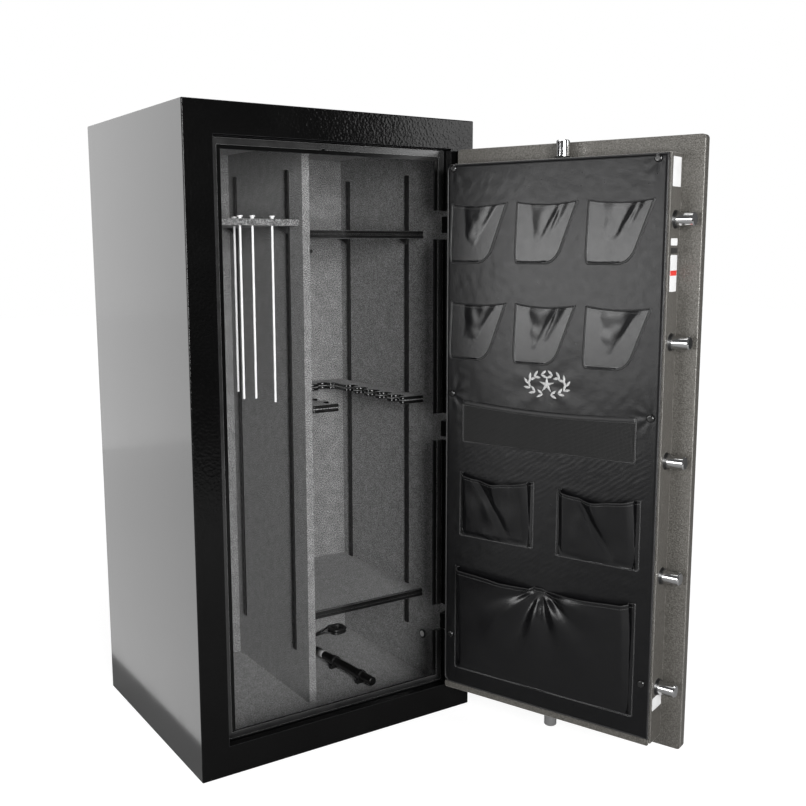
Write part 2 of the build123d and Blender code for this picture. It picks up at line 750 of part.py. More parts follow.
def handle_hub():
    """Turned hub of the spoked handle."""
    y = PLATE_FRONT_Y - 5
    hub = along_y(SHAFT_X, y - 34, SHAFT_Z, HUB_R, 34)
    hub = fillet(hub.faces().sort_by(Axis.Y)[0].edges(), 7)
    return hub - along_y(SHAFT_X, y - 15, SHAFT_Z, SHAFT_R, 16)


def handle_spokes():
    """Five tapered spokes with ball ends, each starting on the side of the hub."""
    y = PLATE_FRONT_Y - 22
    rod = Pos(0, 0, SPOKE_LENGTH / 2) * Cone(SPOKE_R, SPOKE_R - 2, SPOKE_LENGTH - 18)
    rod += Pos(0, 0, SPOKE_LENGTH) * Sphere(SPOKE_R + 4)
    rod = Pos(0, 0, 12) * rod - along_y(0, -20, 0, HUB_R, 40)
    place = Pos(SHAFT_X, y, SHAFT_Z)
    return group([place * Rot(0, 360 / SPOKES * i, 0) * rod for i in range(SPOKES)])


def dial_ring():
    """Fixed ring of the combination dial."""
    ring_body = along_y(SHAFT_X, PLATE_FRONT_Y - 12, DIAL_Z, DIAL_RING_R, 12)
    ring_body = chamfer(ring_body.faces().sort_by(Axis.Y)[0].edges(), 3)
    ring_body -= along_y(SHAFT_X, PLATE_FRONT_Y - 13, DIAL_Z, DIAL_R + 0.5, 10)
    return ring_body - along_y(SHAFT_X, PLATE_FRONT_Y - 13, DIAL_Z, 5, 15)


def dial_knob():
    """Dial disc with a fluted grip."""
    face_y = PLATE_FRONT_Y - 16
    disc = along_y(SHAFT_X, face_y, DIAL_Z, DIAL_R, 12)
    grip = along_y(SHAFT_X, face_y - 16, DIAL_Z, 17, 16)
    grip = fillet(grip.faces().sort_by(Axis.Y)[0].edges(), 3)
    for i in range(24):
        flute = Pos(17.6, 0, 0) * Cylinder(1.5, 13)
        flute = Rot(90, 0, 0) * Rot(0, 0, 15 * i) * flute
        grip -= Pos(SHAFT_X, face_y - 6.5, DIAL_Z) * flute
    return disc + grip


def dial_spindle():
    """Spindle from the dial to the lock case."""
    return along_y(SHAFT_X, PLATE_FRONT_Y - 4, DIAL_Z, 4, 44)


def lock_case():
    """Combination lock body on the inner skin."""
    y = PLATE_BACK_Y
    case = block(SHAFT_X - 42, SHAFT_X + 42, y, y + 34, DIAL_Z - 30, DIAL_Z + 30)
    case = fillet(case.edges().filter_by(Axis.Y), 5)
    case -= along_y(SHAFT_X, y - 1, DIAL_Z, 4.3, 26)
    channel = block(SHAFT_X - 60, SHAFT_X - 20, y + 12, y + 22, DIAL_Z - 13, DIAL_Z + 13)
    return case - channel


def lock_bolt():
    """Lock tongue, drawn back, that bars the bolt bar when it is out."""
    return block(
        SHAFT_X - 50, SHAFT_X - 20, PLATE_BACK_Y + 12, PLATE_BACK_Y + 22, DIAL_Z - 13, DIAL_Z + 13
    )


def hard_plate():
    """Hardened plate between the lock and the door skin."""
    y = PLATE_FRONT_Y + PLATE_STEEL
    plate = block(SHAFT_X - 60, SHAFT_X + 60, y, y + 6, DIAL_Z - 50, DIAL_Z + 50)
    return plate - along_y(SHAFT_X, PLATE_FRONT_Y, DIAL_Z, 5, 30)


# ---------------------------------------------------------- door organiser

def panel_sheet(x0, x1, z0, z1, y0, y1, r):
    sheet = block(x0, x1, y0, y1, z0, z1)
    return fillet(sheet.edges().filter_by(Axis.Y), r)


def upper_pocket(x_hinge, top):
    """Holster pocket whose free side slants in towards its foot."""
    x_free = x_hinge - UPPER_POCKET_W
    bottom = top - UPPER_POCKET_H
    outline = [(x_hinge - 2, top), (x_free, top), (x_free + UPPER_POCKET_SLANT, bottom)]
    outline += [(x_hinge + 4, bottom)]
    face = Plane.XZ * make_face(Polyline(*outline, close=True))
    pocket = extrude(face, amount=-UPPER_POCKET_T)
    pocket = fillet(pocket.edges().filter_by(Axis.Y).sort_by(Axis.Z)[:2], 14)
    return Pos(0, PANEL_FACE_Y, 0) * pocket


def pouch(x0, x1, z0, z1, thickness):
    """A gusseted pouch as one soft block with a rounded front."""
    y1 = PANEL_FACE_Y + thickness
    pocket = block(x0, x1, PANEL_FACE_Y, y1, z0, z1)
    pocket = fillet(pocket.edges().filter_by(Axis.Y).sort_by(Axis.Z)[:2], 10)
    front = pocket.faces().sort_by(Axis.Y)[-1]
    return fillet(front.edges(), min(8, thickness * 0.4))


def snaps():
    """Domed fasteners that hold the organiser to the door."""
    spots = [(278, 1401), (-235, 1400), (278, 860), (-238, 848), (278, 240), (-238, 240)]
    domes = []
    for x, z in spots:
        dome = along_y(x, PANEL_FACE_Y, z, 9, 5)
        domes.append(fillet(dome.faces().sort_by(Axis.Y)[-1].edges(), 4))
    return group(domes)


# ------------------------------------------------------ heating rod and cord

def heater_place(shape):
    """Lays a piece drawn along Y about the origin where the heating rod lies."""
    return Pos(HEATER_X, HEATER_Y, HEATER_Z) * Rot(0, 0, -HEATER_TURN) * shape


def heater_rod():
    rod = along_y(0, -HEATER_LENGTH / 2, 0, HEATER_R, HEATER_LENGTH)
    return heater_place(fillet(rod.edges().filter_by(GeomType.CIRCLE), 3))


def heater_gland():
    """Strain relief at the end of the heating rod."""
    return heater_place(Pos(0, HEATER_LENGTH / 2 + 6, 0) * Rot(-90, 0, 0) * Cone(6, 4, 12))


def heater_feet():
    """Two saddle feet that hold the rod off the carpet."""
    feet = []
    for y in (-88, 40):
        foot = along_y(0, y - 6, 0, HEATER_R + 3, 12)
        foot += block(-17, 17, y - 6, y + 6, FLOOR_Z + 0.1 - HEATER_Z, -HEATER_R + 2)
        feet.append(heater_place(foot - along_y(0, y - 7, 0, HEATER_R + 0.1, 14)))
    return group(feet)


def along_heater(reach):
    """A point on the heating rod's axis, reach from its middle."""
    turn = radians(-HEATER_TURN)
    return (HEATER_X - reach * sin(turn), HEATER_Y + reach * cos(turn), HEATER_Z)


GLAND_END = HEATER_LENGTH / 2 + 12
CORD_Z = FLOOR_Z + CORD_R + 0.1
COIL_SIDE_X = COIL_X - COIL_SIZE / 2
LEAD_ROUTE = [
    along_heater(GLAND_END),
    along_heater(GLAND_END + 21),
    (160, 195, 37),
    (160, 217, CORD_Z + 2),
    (168, 239, CORD_Z),
    (186, 256, CORD_Z),
    (210, 266, CORD_Z + 1),
    (236, 268, CORD_Z + 3),
    (262, 263, CORD_Z + 5),
    (COIL_SIDE_X, 263, CORD_Z + 5),
]
PLUG_ROUTE = [
    (COIL_SIDE_X, 276, CORD_Z + 5),
    (262, 276, CORD_Z + 5),
    (236, 280, CORD_Z + 3),
    (209, 285, CORD_Z + 1.2),
    (182, 284, CORD_Z + 2),
    (156, 275, CORD_Z + 4),
    (132, 264, CORD_Z + 6),
]


def bend_radii(route):
    """Largest bend at each corner that its two runs leave room for."""
    radii = []
    for a, b, c in zip(route, route[1:], route[2:]):
        first, second = Vector(*b) - Vector(*a), Vector(*c) - Vector(*b)
        half = radians(first.get_angle(second)) / 2
        radii.append(0.45 * min(first.length, second.length) / tan(half))
    return radii


def cord(route):
    """A tube of straight runs and tangent arcs along the route."""
    radii = bend_radii(route)
    path = FilletPolyline(*route, radius=radii)
    start = Vector(*route[1]) - Vector(*route[0])
    section = Plane(origin=route[0], z_dir=start) * Circle(CORD_R)
    tube = sweep(section, path=path)
    print("cord bends", [round(r) for r in radii], "length", round(path.length))
    print("cord volume over section x length", round(tube.volume / (pi * CORD_R**2 * path.length), 4))
    return tube


def cord_coil():
    """Outer shape of the coiled cord: a rounded oval ring."""
    coil = Pos(COIL_X, COIL_Y, FLOOR_Z + 0.1) * extrude(
        RectangleRounded(COIL_SIZE, COIL_SIZE, 20) - RectangleRounded(30, 30, 10), amount=COIL_H
    )
    return coil


def plug():
    """Two-blade plug lying on the floor behind the divider, with its blades."""
    end = Vector(*PLUG_ROUTE[-1])
    way = (end - Vector(*PLUG_ROUTE[-2])).normalized()
    place = Plane(origin=end, x_dir=(way.Y, -way.X, 0), z_dir=way)
    body = extrude(place * RectangleRounded(22, 11, 4), amount=30)
    blades = []
    for side in (-1, 1):
        base = Plane(origin=end + way * 30, x_dir=(way.Y, -way.X, 0), z_dir=way)
        blade = base * Pos(side * 6.35, 0) * Rectangle(1.5, 6.3)
        blades.append(extrude(blade, amount=16))
    return body, group(blades)


# ------------------------------------------------------------------- output

def body_nodes():
    surround, cap = cable_port()
    plug_body, plug_blades = plug()
    right_tops = (UPPER_SHELF_TOP, LOWER_SHELF_TOP)
    trim_x0, trim_x1 = DIVIDER_X1 + SHELF_GAP, LINING_HALF_W - SHELF_GAP
    nodes = {
        "body_shell": body_shell(),
        "front_frame": front_frame(),
        "door_seal": door_seal(),
        "divider": block(
            DIVIDER_X0, DIVIDER_X1, DIVIDER_Y0, LINING_BACK_Y, FLOOR_Z, CEILING_Z
        ),
        "shelf_standards": shelf_standards(),
        "left_shelf": left_shelf(),
        "shelf_clips": shelf_clips(),
        "rifle_rods": rifle_rods(),
        "right_shelves": group([right_shelf(top) for top in right_tops]),
        "shelf_trims": group([trim(trim_x0, trim_x1, top) for top in right_tops]),
        "barrel_rest_right": rest_right(),
        "barrel_rest_divider": rest_divider(),
        "cable_port_surround": surround,
        "cable_port_cap": cap,
        "hinge_ears": hinge_ears(),
        "hinge_pins": hinge_pins(),
        "heater_rod": heater_rod(),
        "heater_feet": heater_feet(),
        "heater_gland": heater_gland(),
        "cord_lead": cord(LEAD_ROUTE),
        "cord_coil": cord_coil(),
        "cord_plug_lead": cord(PLUG_ROUTE),
        "plug_body": plug_body,
        "plug_blades": plug_blades,
    }
    nodes.update(linings())
    return nodes


def door_nodes():
    pockets = [upper_pocket(x, top) for top in UPPER_POCKET_TOPS for x in UPPER_POCKET_XS]
    nodes = {
        "hinge_arms": group([hinge_arm(z) for z in HINGE_HEIGHTS]),
        "door_pan": door_pan(),
        "door_fireboard": door_fireboard() - hard_plate(),
        "door_inner_skin": door_inner_skin(),
        "door_box": door_box(),
        "bolt_collars": bolt_collars(),
        "bolt_guides": bolt_guides(),
        "side_bolts": side_bolts(),
        "side_bolt_carriage": side_bolt_carriage(),
        "top_bolt": end_bolt(1),
        "top_bolt_rod": end_bolt_drive(1),
        "bottom_bolt": end_bolt(-1),
        "bottom_bolt_rod": end_bolt_drive(-1),
        "handle_shaft": handle_shaft(),
        "handle_gears": group(
            [
                pinion(teeth, y) - along_y(SHAFT_X, y - 9, SHAFT_Z, SHAFT_R, 18)
                for teeth, y in ((SMALL_TEETH, SMALL_GEAR_Y), (LARGE_TEETH, LARGE_GEAR_Y))
            ]
        ),
        "handle_rose": handle_rose(),
        "handle_hub": handle_hub(),
        "handle_spokes": handle_spokes(),
        "dial_ring": dial_ring(),
        "dial_knob": dial_knob() - dial_spindle(),
        "dial_spindle": dial_spindle(),
        "lock_case": lock_case(),
        "lock_bolt": lock_bolt(),
        "hard_plate": hard_plate(),
        "box_cover": panel_sheet(
            PANEL_X0, PANEL_X1, COVER_Z0, PANEL_Z1, BOX_Y1, BOX_Y1 + COVER_T, 4
        ),
        "organiser_panel": panel_sheet(
            PANEL_X0, PANEL_X1, PANEL_Z0, PANEL_Z1, BOX_Y1 + COVER_T, PANEL_FACE_Y, 4
        ),
        "upper_pockets": group(pockets),
        "badge": panel_sheet(-42, 76, 869, 934, PANEL_FACE_Y, PANEL_FACE_Y + 1.5, 8),
        "mesh_pocket": pouch(-204, 245, 744, 845, MESH_T),
        "lower_pockets": group(
            [
                pouch(46, 252, 505, 667, LOWER_POCKET_T),
                pouch(-222, -16, 500, 662, LOWER_POCKET_T),
            ]
        ),
        "bottom_pocket": pouch(-218, 264, 155, 424, BOTTOM_POCKET_T),
        "organiser_snaps": snaps(),
    }
    return {name: opened(shape) for name, shape in nodes.items()}


def main():
    os.makedirs("parts", exist_ok=True)
    nodes = body_nodes()
    nodes.update(door_nodes())
    for name, shape in nodes.items():
        export_step(shape, f"parts/{name}.step")
    print(len(nodes), "nodes")


main()
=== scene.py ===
# Looks of the gun safe: camera, light, materials, the fabric door organiser, cord, labels and dial.
# Metres, +Z up, the safe's front faces -Y.
# Pieces on the door are shaped with the door shut, panel facing +Y, and then turned open.
import json
from math import cos, pi, radians, sin

import bmesh
import bpy
import numpy as np
from mathutils import Matrix, Vector, noise


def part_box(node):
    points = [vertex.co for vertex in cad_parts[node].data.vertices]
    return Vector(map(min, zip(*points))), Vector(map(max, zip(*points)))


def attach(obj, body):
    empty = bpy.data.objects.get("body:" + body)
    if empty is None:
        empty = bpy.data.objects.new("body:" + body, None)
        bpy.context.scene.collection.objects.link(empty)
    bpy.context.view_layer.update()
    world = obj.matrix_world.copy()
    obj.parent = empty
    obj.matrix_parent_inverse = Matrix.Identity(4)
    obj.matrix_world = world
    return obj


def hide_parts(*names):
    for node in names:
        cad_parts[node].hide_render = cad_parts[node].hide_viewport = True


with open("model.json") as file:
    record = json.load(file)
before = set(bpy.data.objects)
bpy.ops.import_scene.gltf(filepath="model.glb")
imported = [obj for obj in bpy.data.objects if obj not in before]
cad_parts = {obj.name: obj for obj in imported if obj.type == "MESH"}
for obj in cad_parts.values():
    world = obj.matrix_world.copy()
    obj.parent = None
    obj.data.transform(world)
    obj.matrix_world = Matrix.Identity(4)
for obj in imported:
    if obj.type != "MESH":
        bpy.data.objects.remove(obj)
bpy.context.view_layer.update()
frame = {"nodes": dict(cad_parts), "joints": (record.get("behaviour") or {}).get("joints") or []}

SWING = next(j for j in frame["joints"] if j["name"] == "door_swing")
HINGE = Vector(SWING["pos_m"])
OPEN_ANGLE = radians(-SWING["range_deg"][0])
DOOR = (
    Matrix.Translation(HINGE) @ Matrix.Rotation(OPEN_ANGLE, 4, "Z") @ Matrix.Translation(-HINGE)
)


# ------------------------------------------------------------------ camera and light

CAMERA_SPOT = (-1.21325, -2.39056, 1.21603)
CAMERA_HEADING = 33.75
CAMERA_PITCH = 8.67
CAMERA_ROLL = -0.04
LENS = 45.68
SENSOR = 36


def make_camera():
    """The camera, aimed clockwise from +Y and slightly down."""
    data = bpy.data.cameras.new("camera")
    data.sensor_width = SENSOR
    data.lens = LENS
    camera = bpy.data.objects.new("camera", data)
    bpy.context.scene.collection.objects.link(camera)
    heading, pitch = radians(CAMERA_HEADING), radians(CAMERA_PITCH)
    look = Vector((sin(heading) * cos(pitch), cos(heading) * cos(pitch), -sin(pitch)))
    turn = look.to_track_quat("-Z", "Y").to_matrix()
    turn = turn @ Matrix.Rotation(radians(CAMERA_ROLL), 3, "Z")
    camera.rotation_euler = turn.to_euler()
    camera.location = CAMERA_SPOT
    bpy.context.scene.camera = camera


def softbox(name, spot, target, size, power):
    """A rectangular softbox, width and height in metres, aimed at target."""
    data = bpy.data.lights.new(name, "AREA")
    data.shape = "RECTANGLE"
    data.size, data.size_y = size
    data.energy = power
    light = bpy.data.objects.new(name, data)
    light.location = spot
    light.rotation_euler = (Vector(target) - Vector(spot)).to_track_quat("-Z", "Y").to_euler()
    light.visible_camera = False
    bpy.context.scene.collection.objects.link(light)


# Each softbox: name, place, target, width and height, watts.
SOFTBOXES = (
    ("key", (-0.85, -3.8, 1.38), (0.05, 0.0, 0.95), (1.5, 1.5), 200),
    ("side", (-3.3, -0.3, 1.1), (0.4, -0.6, 1.1), (1.7, 1.2), 46),
    ("right", (2.5, -3.0, 2.0), (0.3, -0.3, 1.45), (0.9, 0.9), 11),
    ("back_left", (-3.1, 3.6, 1.75), (-3.0, 0.0, 1.75), (5.4, 3.5), 74),
    ("floor_card", (-2.6, 1.65, 0.004), (-2.6, 1.65, 2.0), (4.3, 3.9), 44),
    ("overhead", (0.2, 0.4, 3.6), (0.0, 0.0, 1.0), (2.2, 2.2), 35),
)
SURROUND_COLOUR = (0.95, 0.95, 0.96, 1)
SURROUND_STRENGTH = 0.12
WHITE = (1, 1, 1, 1)
FLOOR_SIZE = 16
FLOOR_DROP = 0.001
FLOOR_GLOW = (0.82, 1.0)
FLOOR_FADE = (0.9, 4.2)


def make_studio():
    """Softboxes, a white surround and a pale floor."""
    for box in SOFTBOXES:
        softbox(*box)
    world = bpy.data.worlds.new("surround")
    bpy.context.scene.world = world
    world.use_nodes = True
    tree = world.node_tree
    tree.nodes["Background"].inputs["Color"].default_value = SURROUND_COLOUR
    tree.nodes["Background"].inputs["Strength"].default_value = SURROUND_STRENGTH
    seen = tree.nodes.new("ShaderNodeBackground")
    seen.inputs["Color"].default_value = WHITE
    path = tree.nodes.new("ShaderNodeLightPath")
    mix = tree.nodes.new("ShaderNodeMixShader")
    tree.links.new(path.outputs["Is Camera Ray"], mix.inputs[0])
    tree.links.new(tree.nodes["Background"].outputs[0], mix.inputs[1])
    tree.links.new(seen.outputs[0], mix.inputs[2])
    tree.links.new(mix.outputs[0], tree.nodes["World Output"].inputs["Surface"])
    corners = [(x * FLOOR_SIZE, y * FLOOR_SIZE, 0) for x, y in ((-1, -1), (1, -1), (1, 1), (-1, 1))]
    floor = mesh_object("studio_floor", corners, [(0, 1, 2, 3)])
    floor.location.z = -FLOOR_DROP
    floor.data.materials.append(floor_material())
    bpy.context.scene.view_settings.view_transform = "Standard"


# ------------------------------------------------------------------ mesh helpers


def mesh_object(name, points, faces, smooth=True):
    """A linked mesh object from points and faces."""
    mesh = bpy.data.meshes.new(name)
    mesh.from_pydata([tuple(float(c) for c in p) for p in points], [], faces)
    mesh.polygons.foreach_set("use_smooth", [smooth] * len(mesh.polygons))
    mesh.update()
    obj = bpy.data.objects.new(name, mesh)
    bpy.context.scene.collection.objects.link(obj)
    return obj


def grid_faces(rows, cols, first=0, ring=False):
    """Quads of a rows by cols grid of points; ring joins each row's end to its start."""
    faces = []
    for i in range(rows - 1):
        for j in range(cols if ring else cols - 1):
            a, b = first + i * cols + j, first + i * cols + (j + 1) % cols
            faces.append((a, b, b + cols, a + cols))
    return faces


def grid_rim(rows, cols):
    """The outline of a rows by cols grid of points, as indices in order."""
    rim = list(range(cols)) + [i * cols + cols - 1 for i in range(1, rows)]
    rim += [(rows - 1) * cols + j for j in range(cols - 2, -1, -1)]
    return rim + [i * cols for i in range(rows - 2, 0, -1)]


def merged(parts):
    """Several (points, faces) lists as one."""
    points, faces = [], []
    for more, quads in parts:
        faces += [tuple(len(points) + i for i in f) for f in quads]
        points += [tuple(p) for p in more]
    return points, faces


def finish_piece(obj, body, slot, stands_for=()):
    """Material, slot, body and the CAD nodes that a piece stands for."""
    obj.data.materials.append(MATERIALS[slot])
    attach(obj, body)
    if stands_for:
        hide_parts(*stands_for)
    return obj


def door_piece(name, points, faces, slot, stands_for=(), smooth=True):
    """A piece on the door, given as it is with the door shut."""
    opened = [DOOR @ Vector(p) for p in points]
    return finish_piece(mesh_object(name, opened, faces, smooth), "door", slot, stands_for)


def node_solids(node):
    """Corners of each separate solid of a door node with the door shut, top row first."""
    bm = bmesh.new()
    bm.from_mesh(frame["nodes"][node].data)
    bm.transform(DOOR.inverted())
    bmesh.ops.remove_doubles(bm, verts=bm.verts, dist=1e-5)
    left, boxes = set(bm.verts), []
    while left:
        stack, found = [left.pop()], []
        while stack:
            vert = stack.pop()
            found.append(vert.co.copy())
            near = [e.other_vert(vert) for e in vert.link_edges]
            near = [v for v in near if v in left]
            left.difference_update(near)
            stack += near
        boxes.append((
            Vector([min(p[i] for p in found) for i in range(3)]),
            Vector([max(p[i] for p in found) for i in range(3)]),
        ))
    bm.free()
    return sorted(boxes, key=lambda b: (-round(b[1].z, 2), -b[0].x))


def bead(path, width, height, closed=False, up=Vector((0, 1, 0)), sides=7, whole=False):
    """A strip along path on the plane whose normal is up: domed, or an oval if whole."""
    path = [Vector(p) for p in path]
    count = len(path)
    widths = width if isinstance(width, list) else [width] * count
    span = 2 * pi / sides if whole else pi / (sides - 1)
    points = []
    for i, p in enumerate(path):
        before = path[(i - 1) % count] if closed or i else p
        after = path[(i + 1) % count] if closed or i < count - 1 else p
        side = (after - before).cross(up).normalized()
        points += [
            p + side * (cos(span * k) * widths[i] / 2) + up * (sin(span * k) * height)
            for k in range(sides)
        ]
    faces = grid_faces(count, sides, ring=True)
    last = (count - 1) * sides
    if closed:
        faces += [
            (last + k, last + (k + 1) % sides, (k + 1) % sides, k) for k in range(sides)
        ]
    else:
        faces += [tuple(range(sides))[::-1], tuple(last + k for k in range(sides))]
    return points, faces


def resample(path, step):
    """Points at equal steps along a line of points."""
    path = np.array([tuple(p) for p in path])
    reach = np.concatenate([[0], np.cumsum(np.linalg.norm(np.diff(path, axis=0), axis=1))])
    marks = np.linspace(0, reach[-1], max(2, round(reach[-1] / step) + 1))
    return [Vector([np.interp(m, reach, path[:, k]) for k in range(3)]) for m in marks]


STITCH_STEP = 0.0042
STITCH_LENGTH = 0.0029
STITCH_R = 0.00042


def stitches(path, up=Vector((0, 1, 0))):
    """A row of thread stitches along a line, each a small spindle lying on the cloth."""
    parts = []
    line = resample(path, STITCH_STEP)
    for a, b in zip(line, line[1:]):
        way = (b - a).normalized()
        side = way.cross(up).normalized()
        mid = (a + b) / 2
        ends = [mid - way * STITCH_LENGTH / 2, mid + way * STITCH_LENGTH / 2]
        rims = []
        for k in (-0.3, 0.3):
            centre = mid + way * (STITCH_LENGTH * k) + up * STITCH_R * 0.6
            rims += [
                centre + side * (cos(t) * STITCH_R) + up * (sin(t) * STITCH_R)
                for t in (pi / 4, 3 * pi / 4, 5 * pi / 4, 7 * pi / 4)
            ]
        points = ends + rims
        faces = [(0, 2 + (k + 1) % 4, 2 + k) for k in range(4)]
        faces += [(1, 6 + k, 6 + (k + 1) % 4) for k in range(4)]
        faces += [(2 + k, 2 + (k + 1) % 4, 6 + (k + 1) % 4, 6 + k) for k in range(4)]
        parts.append((points, faces))
    return merged(parts)


# ------------------------------------------------------------------ materials


def add(tree, kind, settings=None, **values):
    """A node with its settings, and its inputs set or linked by name."""
    item = tree.nodes.new(kind)
    for key, value in (settings or {}).items():
        setattr(item, key, value)
    for key, value in values.items():
        socket = item.inputs[key.replace("_", " ")]
        if isinstance(value, bpy.types.NodeSocket):
            tree.links.new(value, socket)
        else:
            socket.default_value = value
    return item


def new_material(name, **values):
    """A material whose shader has these constants set on its own sockets."""
    mat = bpy.data.materials.new(name)
    mat.use_nodes = True
    tree = mat.node_tree
    shader = tree.nodes["Principled BSDF"]
    for key, value in values.items():
        shader.inputs[key.replace("_", " ")].default_value = value
    place = add(tree, "ShaderNodeTexCoord").outputs["Object"]
    return mat, tree, shader, place


def ramp(tree, source, *stops):
    """Colours or greys at positions along source."""
    item = add(tree, "ShaderNodeValToRGB", Fac=source)
    elements = item.color_ramp.elements
    while len(elements) < len(stops):
        elements.new(0.5)
    for element, (spot, colour) in zip(elements, stops):
        element.position = spot
        grey = (colour,) * 3 if isinstance(colour, (int, float)) else colour
        element.color = (*grey, 1)
    return item.outputs["Color"]


def door_axes(tree, place, scale=(1.0, 1.0, 1.0)):
    """Places turned to the shut door's axes, then scaled along them."""
    turned = add(
        tree, "ShaderNodeMapping", Vector=place, Rotation=(0.0, 0.0, -OPEN_ANGLE)
    ).outputs[0]
    return add(tree, "ShaderNodeMapping", Vector=turned, Scale=scale).outputs[0]


def noise_of(tree, place, scale, detail=3.0, rough=0.5):
    """Noise at so many cells per metre."""
    return add(
        tree, "ShaderNodeTexNoise", Vector=place, Scale=scale, Detail=detail, Roughness=rough
    ).outputs["Fac"]


def spread(tree, source, low, high):
    """source, from 0 to 1, spread over low to high."""
    return add(tree, "ShaderNodeMapRange", Value=source, To_Min=low, To_Max=high).outputs[0]


def bumped(tree, shader, height, strength, distance, below=None):
    """Bump from height into the shader's normal, over a bump below it."""
    values = {"Height": height, "Strength": strength, "Distance": distance}
    if below is not None:
        values["Normal"] = below
    normal = add(tree, "ShaderNodeBump", **values).outputs[0]
    tree.links.new(normal, shader.inputs["Normal"])
    return normal


def edge_mask(tree, radius):
    """1 on edges tighter than radius, 0 on flats."""
    bevel = add(tree, "ShaderNodeBevel", {"samples": 4}, Radius=radius).outputs[0]
    flat = add(tree, "ShaderNodeNewGeometry").outputs["Normal"]
    dot = add(tree, "ShaderNodeVectorMath", {"operation": "DOT_PRODUCT"})
    tree.links.new(bevel, dot.inputs[0])
    tree.links.new(flat, dot.inputs[1])
    return add(
        tree, "ShaderNodeMapRange", Value=dot.outputs["Value"],
        From_Min=0.995, From_Max=0.8, To_Min=0.0, To_Max=1.0,
    ).outputs[0]


def mixed(tree, share, first, second, blend="MIX"):
    """first, blended with second where share is 1."""
    item = add(tree, "ShaderNodeMix", {"data_type": "RGBA", "blend_type": blend})
    pairs = (item.inputs[0], share), (item.inputs[6], first), (item.inputs[7], second)
    for socket, value in pairs:
        if isinstance(value, bpy.types.NodeSocket):
            tree.links.new(value, socket)
        else:
            socket.default_value = value
    return item.outputs[2]


def floor_material():
    """Pale studio floor that brightens into the white surround."""
    mat, tree, shader, place = new_material("studio_floor", Specular_IOR_Level=0.1, Roughness=0.85)
    tone = ramp(tree, noise_of(tree, place, 1.5), (0.3, 0.3), (0.7, 0.32))
    tree.links.new(tone, shader.inputs["Base Color"])
    reach = add(tree, "ShaderNodeVectorMath", {"operation": "LENGTH"})
    tree.links.new(place, reach.inputs[0])
    glow = add(
        tree, "ShaderNodeMapRange", Value=reach.outputs["Value"], From_Min=FLOOR_FADE[0],
        From_Max=FLOOR_FADE[1], To_Min=FLOOR_GLOW[0], To_Max=FLOOR_GLOW[1],
    ).outputs[0]
    seen = add(tree, "ShaderNodeLightPath").outputs["Is Camera Ray"]
    lit = add(tree, "ShaderNodeMath", {"operation": "MULTIPLY"})
    tree.links.new(glow, lit.inputs[0])
    tree.links.new(seen, lit.inputs[1])
    tree.links.new(lit.outputs[0], shader.inputs["Emission Strength"])
    shader.inputs["Emission Color"].default_value = WHITE
    return mat


JAMB_PEEL = 0.05
PEEL_DEPTH = 0.0009


def gloss_paint(name, specular, coat, rough, peel, base, grain, jamb_y):
    """Black gloss paint with faint dust, orange peel and lighter edges that are partly wear and
    partly painted highlight; smoother behind jamb_y.
    """
    mat, tree, shader, place = new_material(
        name, Specular_IOR_Level=specular, Coat_Weight=coat, Coat_Roughness=0.08
    )
    dust = ramp(tree, noise_of(tree, place, 900, 2), (0.62, 0.0), (0.8, 1.0))
    tone = ramp(tree, noise_of(tree, place, 6), (0.3, base), (0.7, 1.7 * base))
    # Edges painted a lighter grey: partly paint wear, partly a painted highlight.
    edge_wear_and_highlight = mixed(tree, edge_mask(tree, 0.0015), tone, (0.03, 0.03, 0.032, 1))
    speck = mixed(tree, spread(tree, dust, 0.0, 0.2), edge_wear_and_highlight, (0.06, 0.06, 0.06, 1))
    tree.links.new(speck, shader.inputs["Base Color"])
    haze = noise_of(tree, place, 14)
    tree.links.new(spread(tree, haze, rough, rough + 0.1), shader.inputs["Roughness"])
    depth = add(tree, "ShaderNodeSeparateXYZ", Vector=place).outputs["Y"]
    face = add(
        tree, "ShaderNodeMapRange", Value=depth, From_Min=jamb_y, From_Max=jamb_y + 0.001,
        To_Min=peel, To_Max=JAMB_PEEL,
    ).outputs[0]
    bumped(tree, shader, noise_of(tree, place, grain, 0.5), face, PEEL_DEPTH)
    return mat


def hammertone():
    """Grey-bronze hammered paint: shallow dimples, edges painted light as partly wear and partly a
    painted highlight.
    """
    mat, tree, shader, place = new_material("hammertone", Metallic=0.35, Specular_IOR_Level=0.6)
    cells = add(
        tree, "ShaderNodeTexVoronoi", {"feature": "SMOOTH_F1"}, Vector=place,
        Scale=380.0, Smoothness=0.7, Randomness=1.0,
    ).outputs["Distance"]
    blot = noise_of(tree, place, 320, 3)
    tone = ramp(
        tree, blot, (0.34, (0.062, 0.058, 0.051)), (0.5, (0.094, 0.089, 0.080)),
        (0.68, (0.135, 0.129, 0.118)),
    )
    # Edges painted a light grey: partly wear, partly a painted highlight.
    edge_wear_and_highlight = mixed(tree, edge_mask(tree, 0.0018), tone, (0.42, 0.41, 0.39, 1))
    tree.links.new(edge_wear_and_highlight, shader.inputs["Base Color"])
    tree.links.new(spread(tree, blot, 0.3, 0.5), shader.inputs["Roughness"])
    dents = bumped(tree, shader, cells, 0.55, 0.0012)
    bumped(tree, shader, blot, 0.3, 0.0006, dents)
    return mat


def carpet(name, dark, light):
    """Short grey pile: speckled fibres with soft shading patches."""
    mat, tree, shader, place = new_material(
        name, Roughness=1.0, Sheen_Weight=0.25, Sheen_Roughness=0.6, Specular_IOR_Level=0.08
    )
    fibre = noise_of(tree, place, 400, 2.5, 0.7)
    patch = noise_of(tree, place, 45, 3)
    tone = ramp(tree, fibre, (0.40, dark), (0.5, (dark + light) / 2.4), (0.60, light))
    shade = ramp(tree, patch, (0.3, 0.72), (0.7, 1.0))
    tree.links.new(mixed(tree, 1, tone, shade, "MULTIPLY"), shader.inputs["Base Color"])
    clump = bumped(tree, shader, noise_of(tree, place, 160, 2), 0.35, 0.003)
    bumped(tree, shader, fibre, 0.8, 0.002, clump)
    return mat


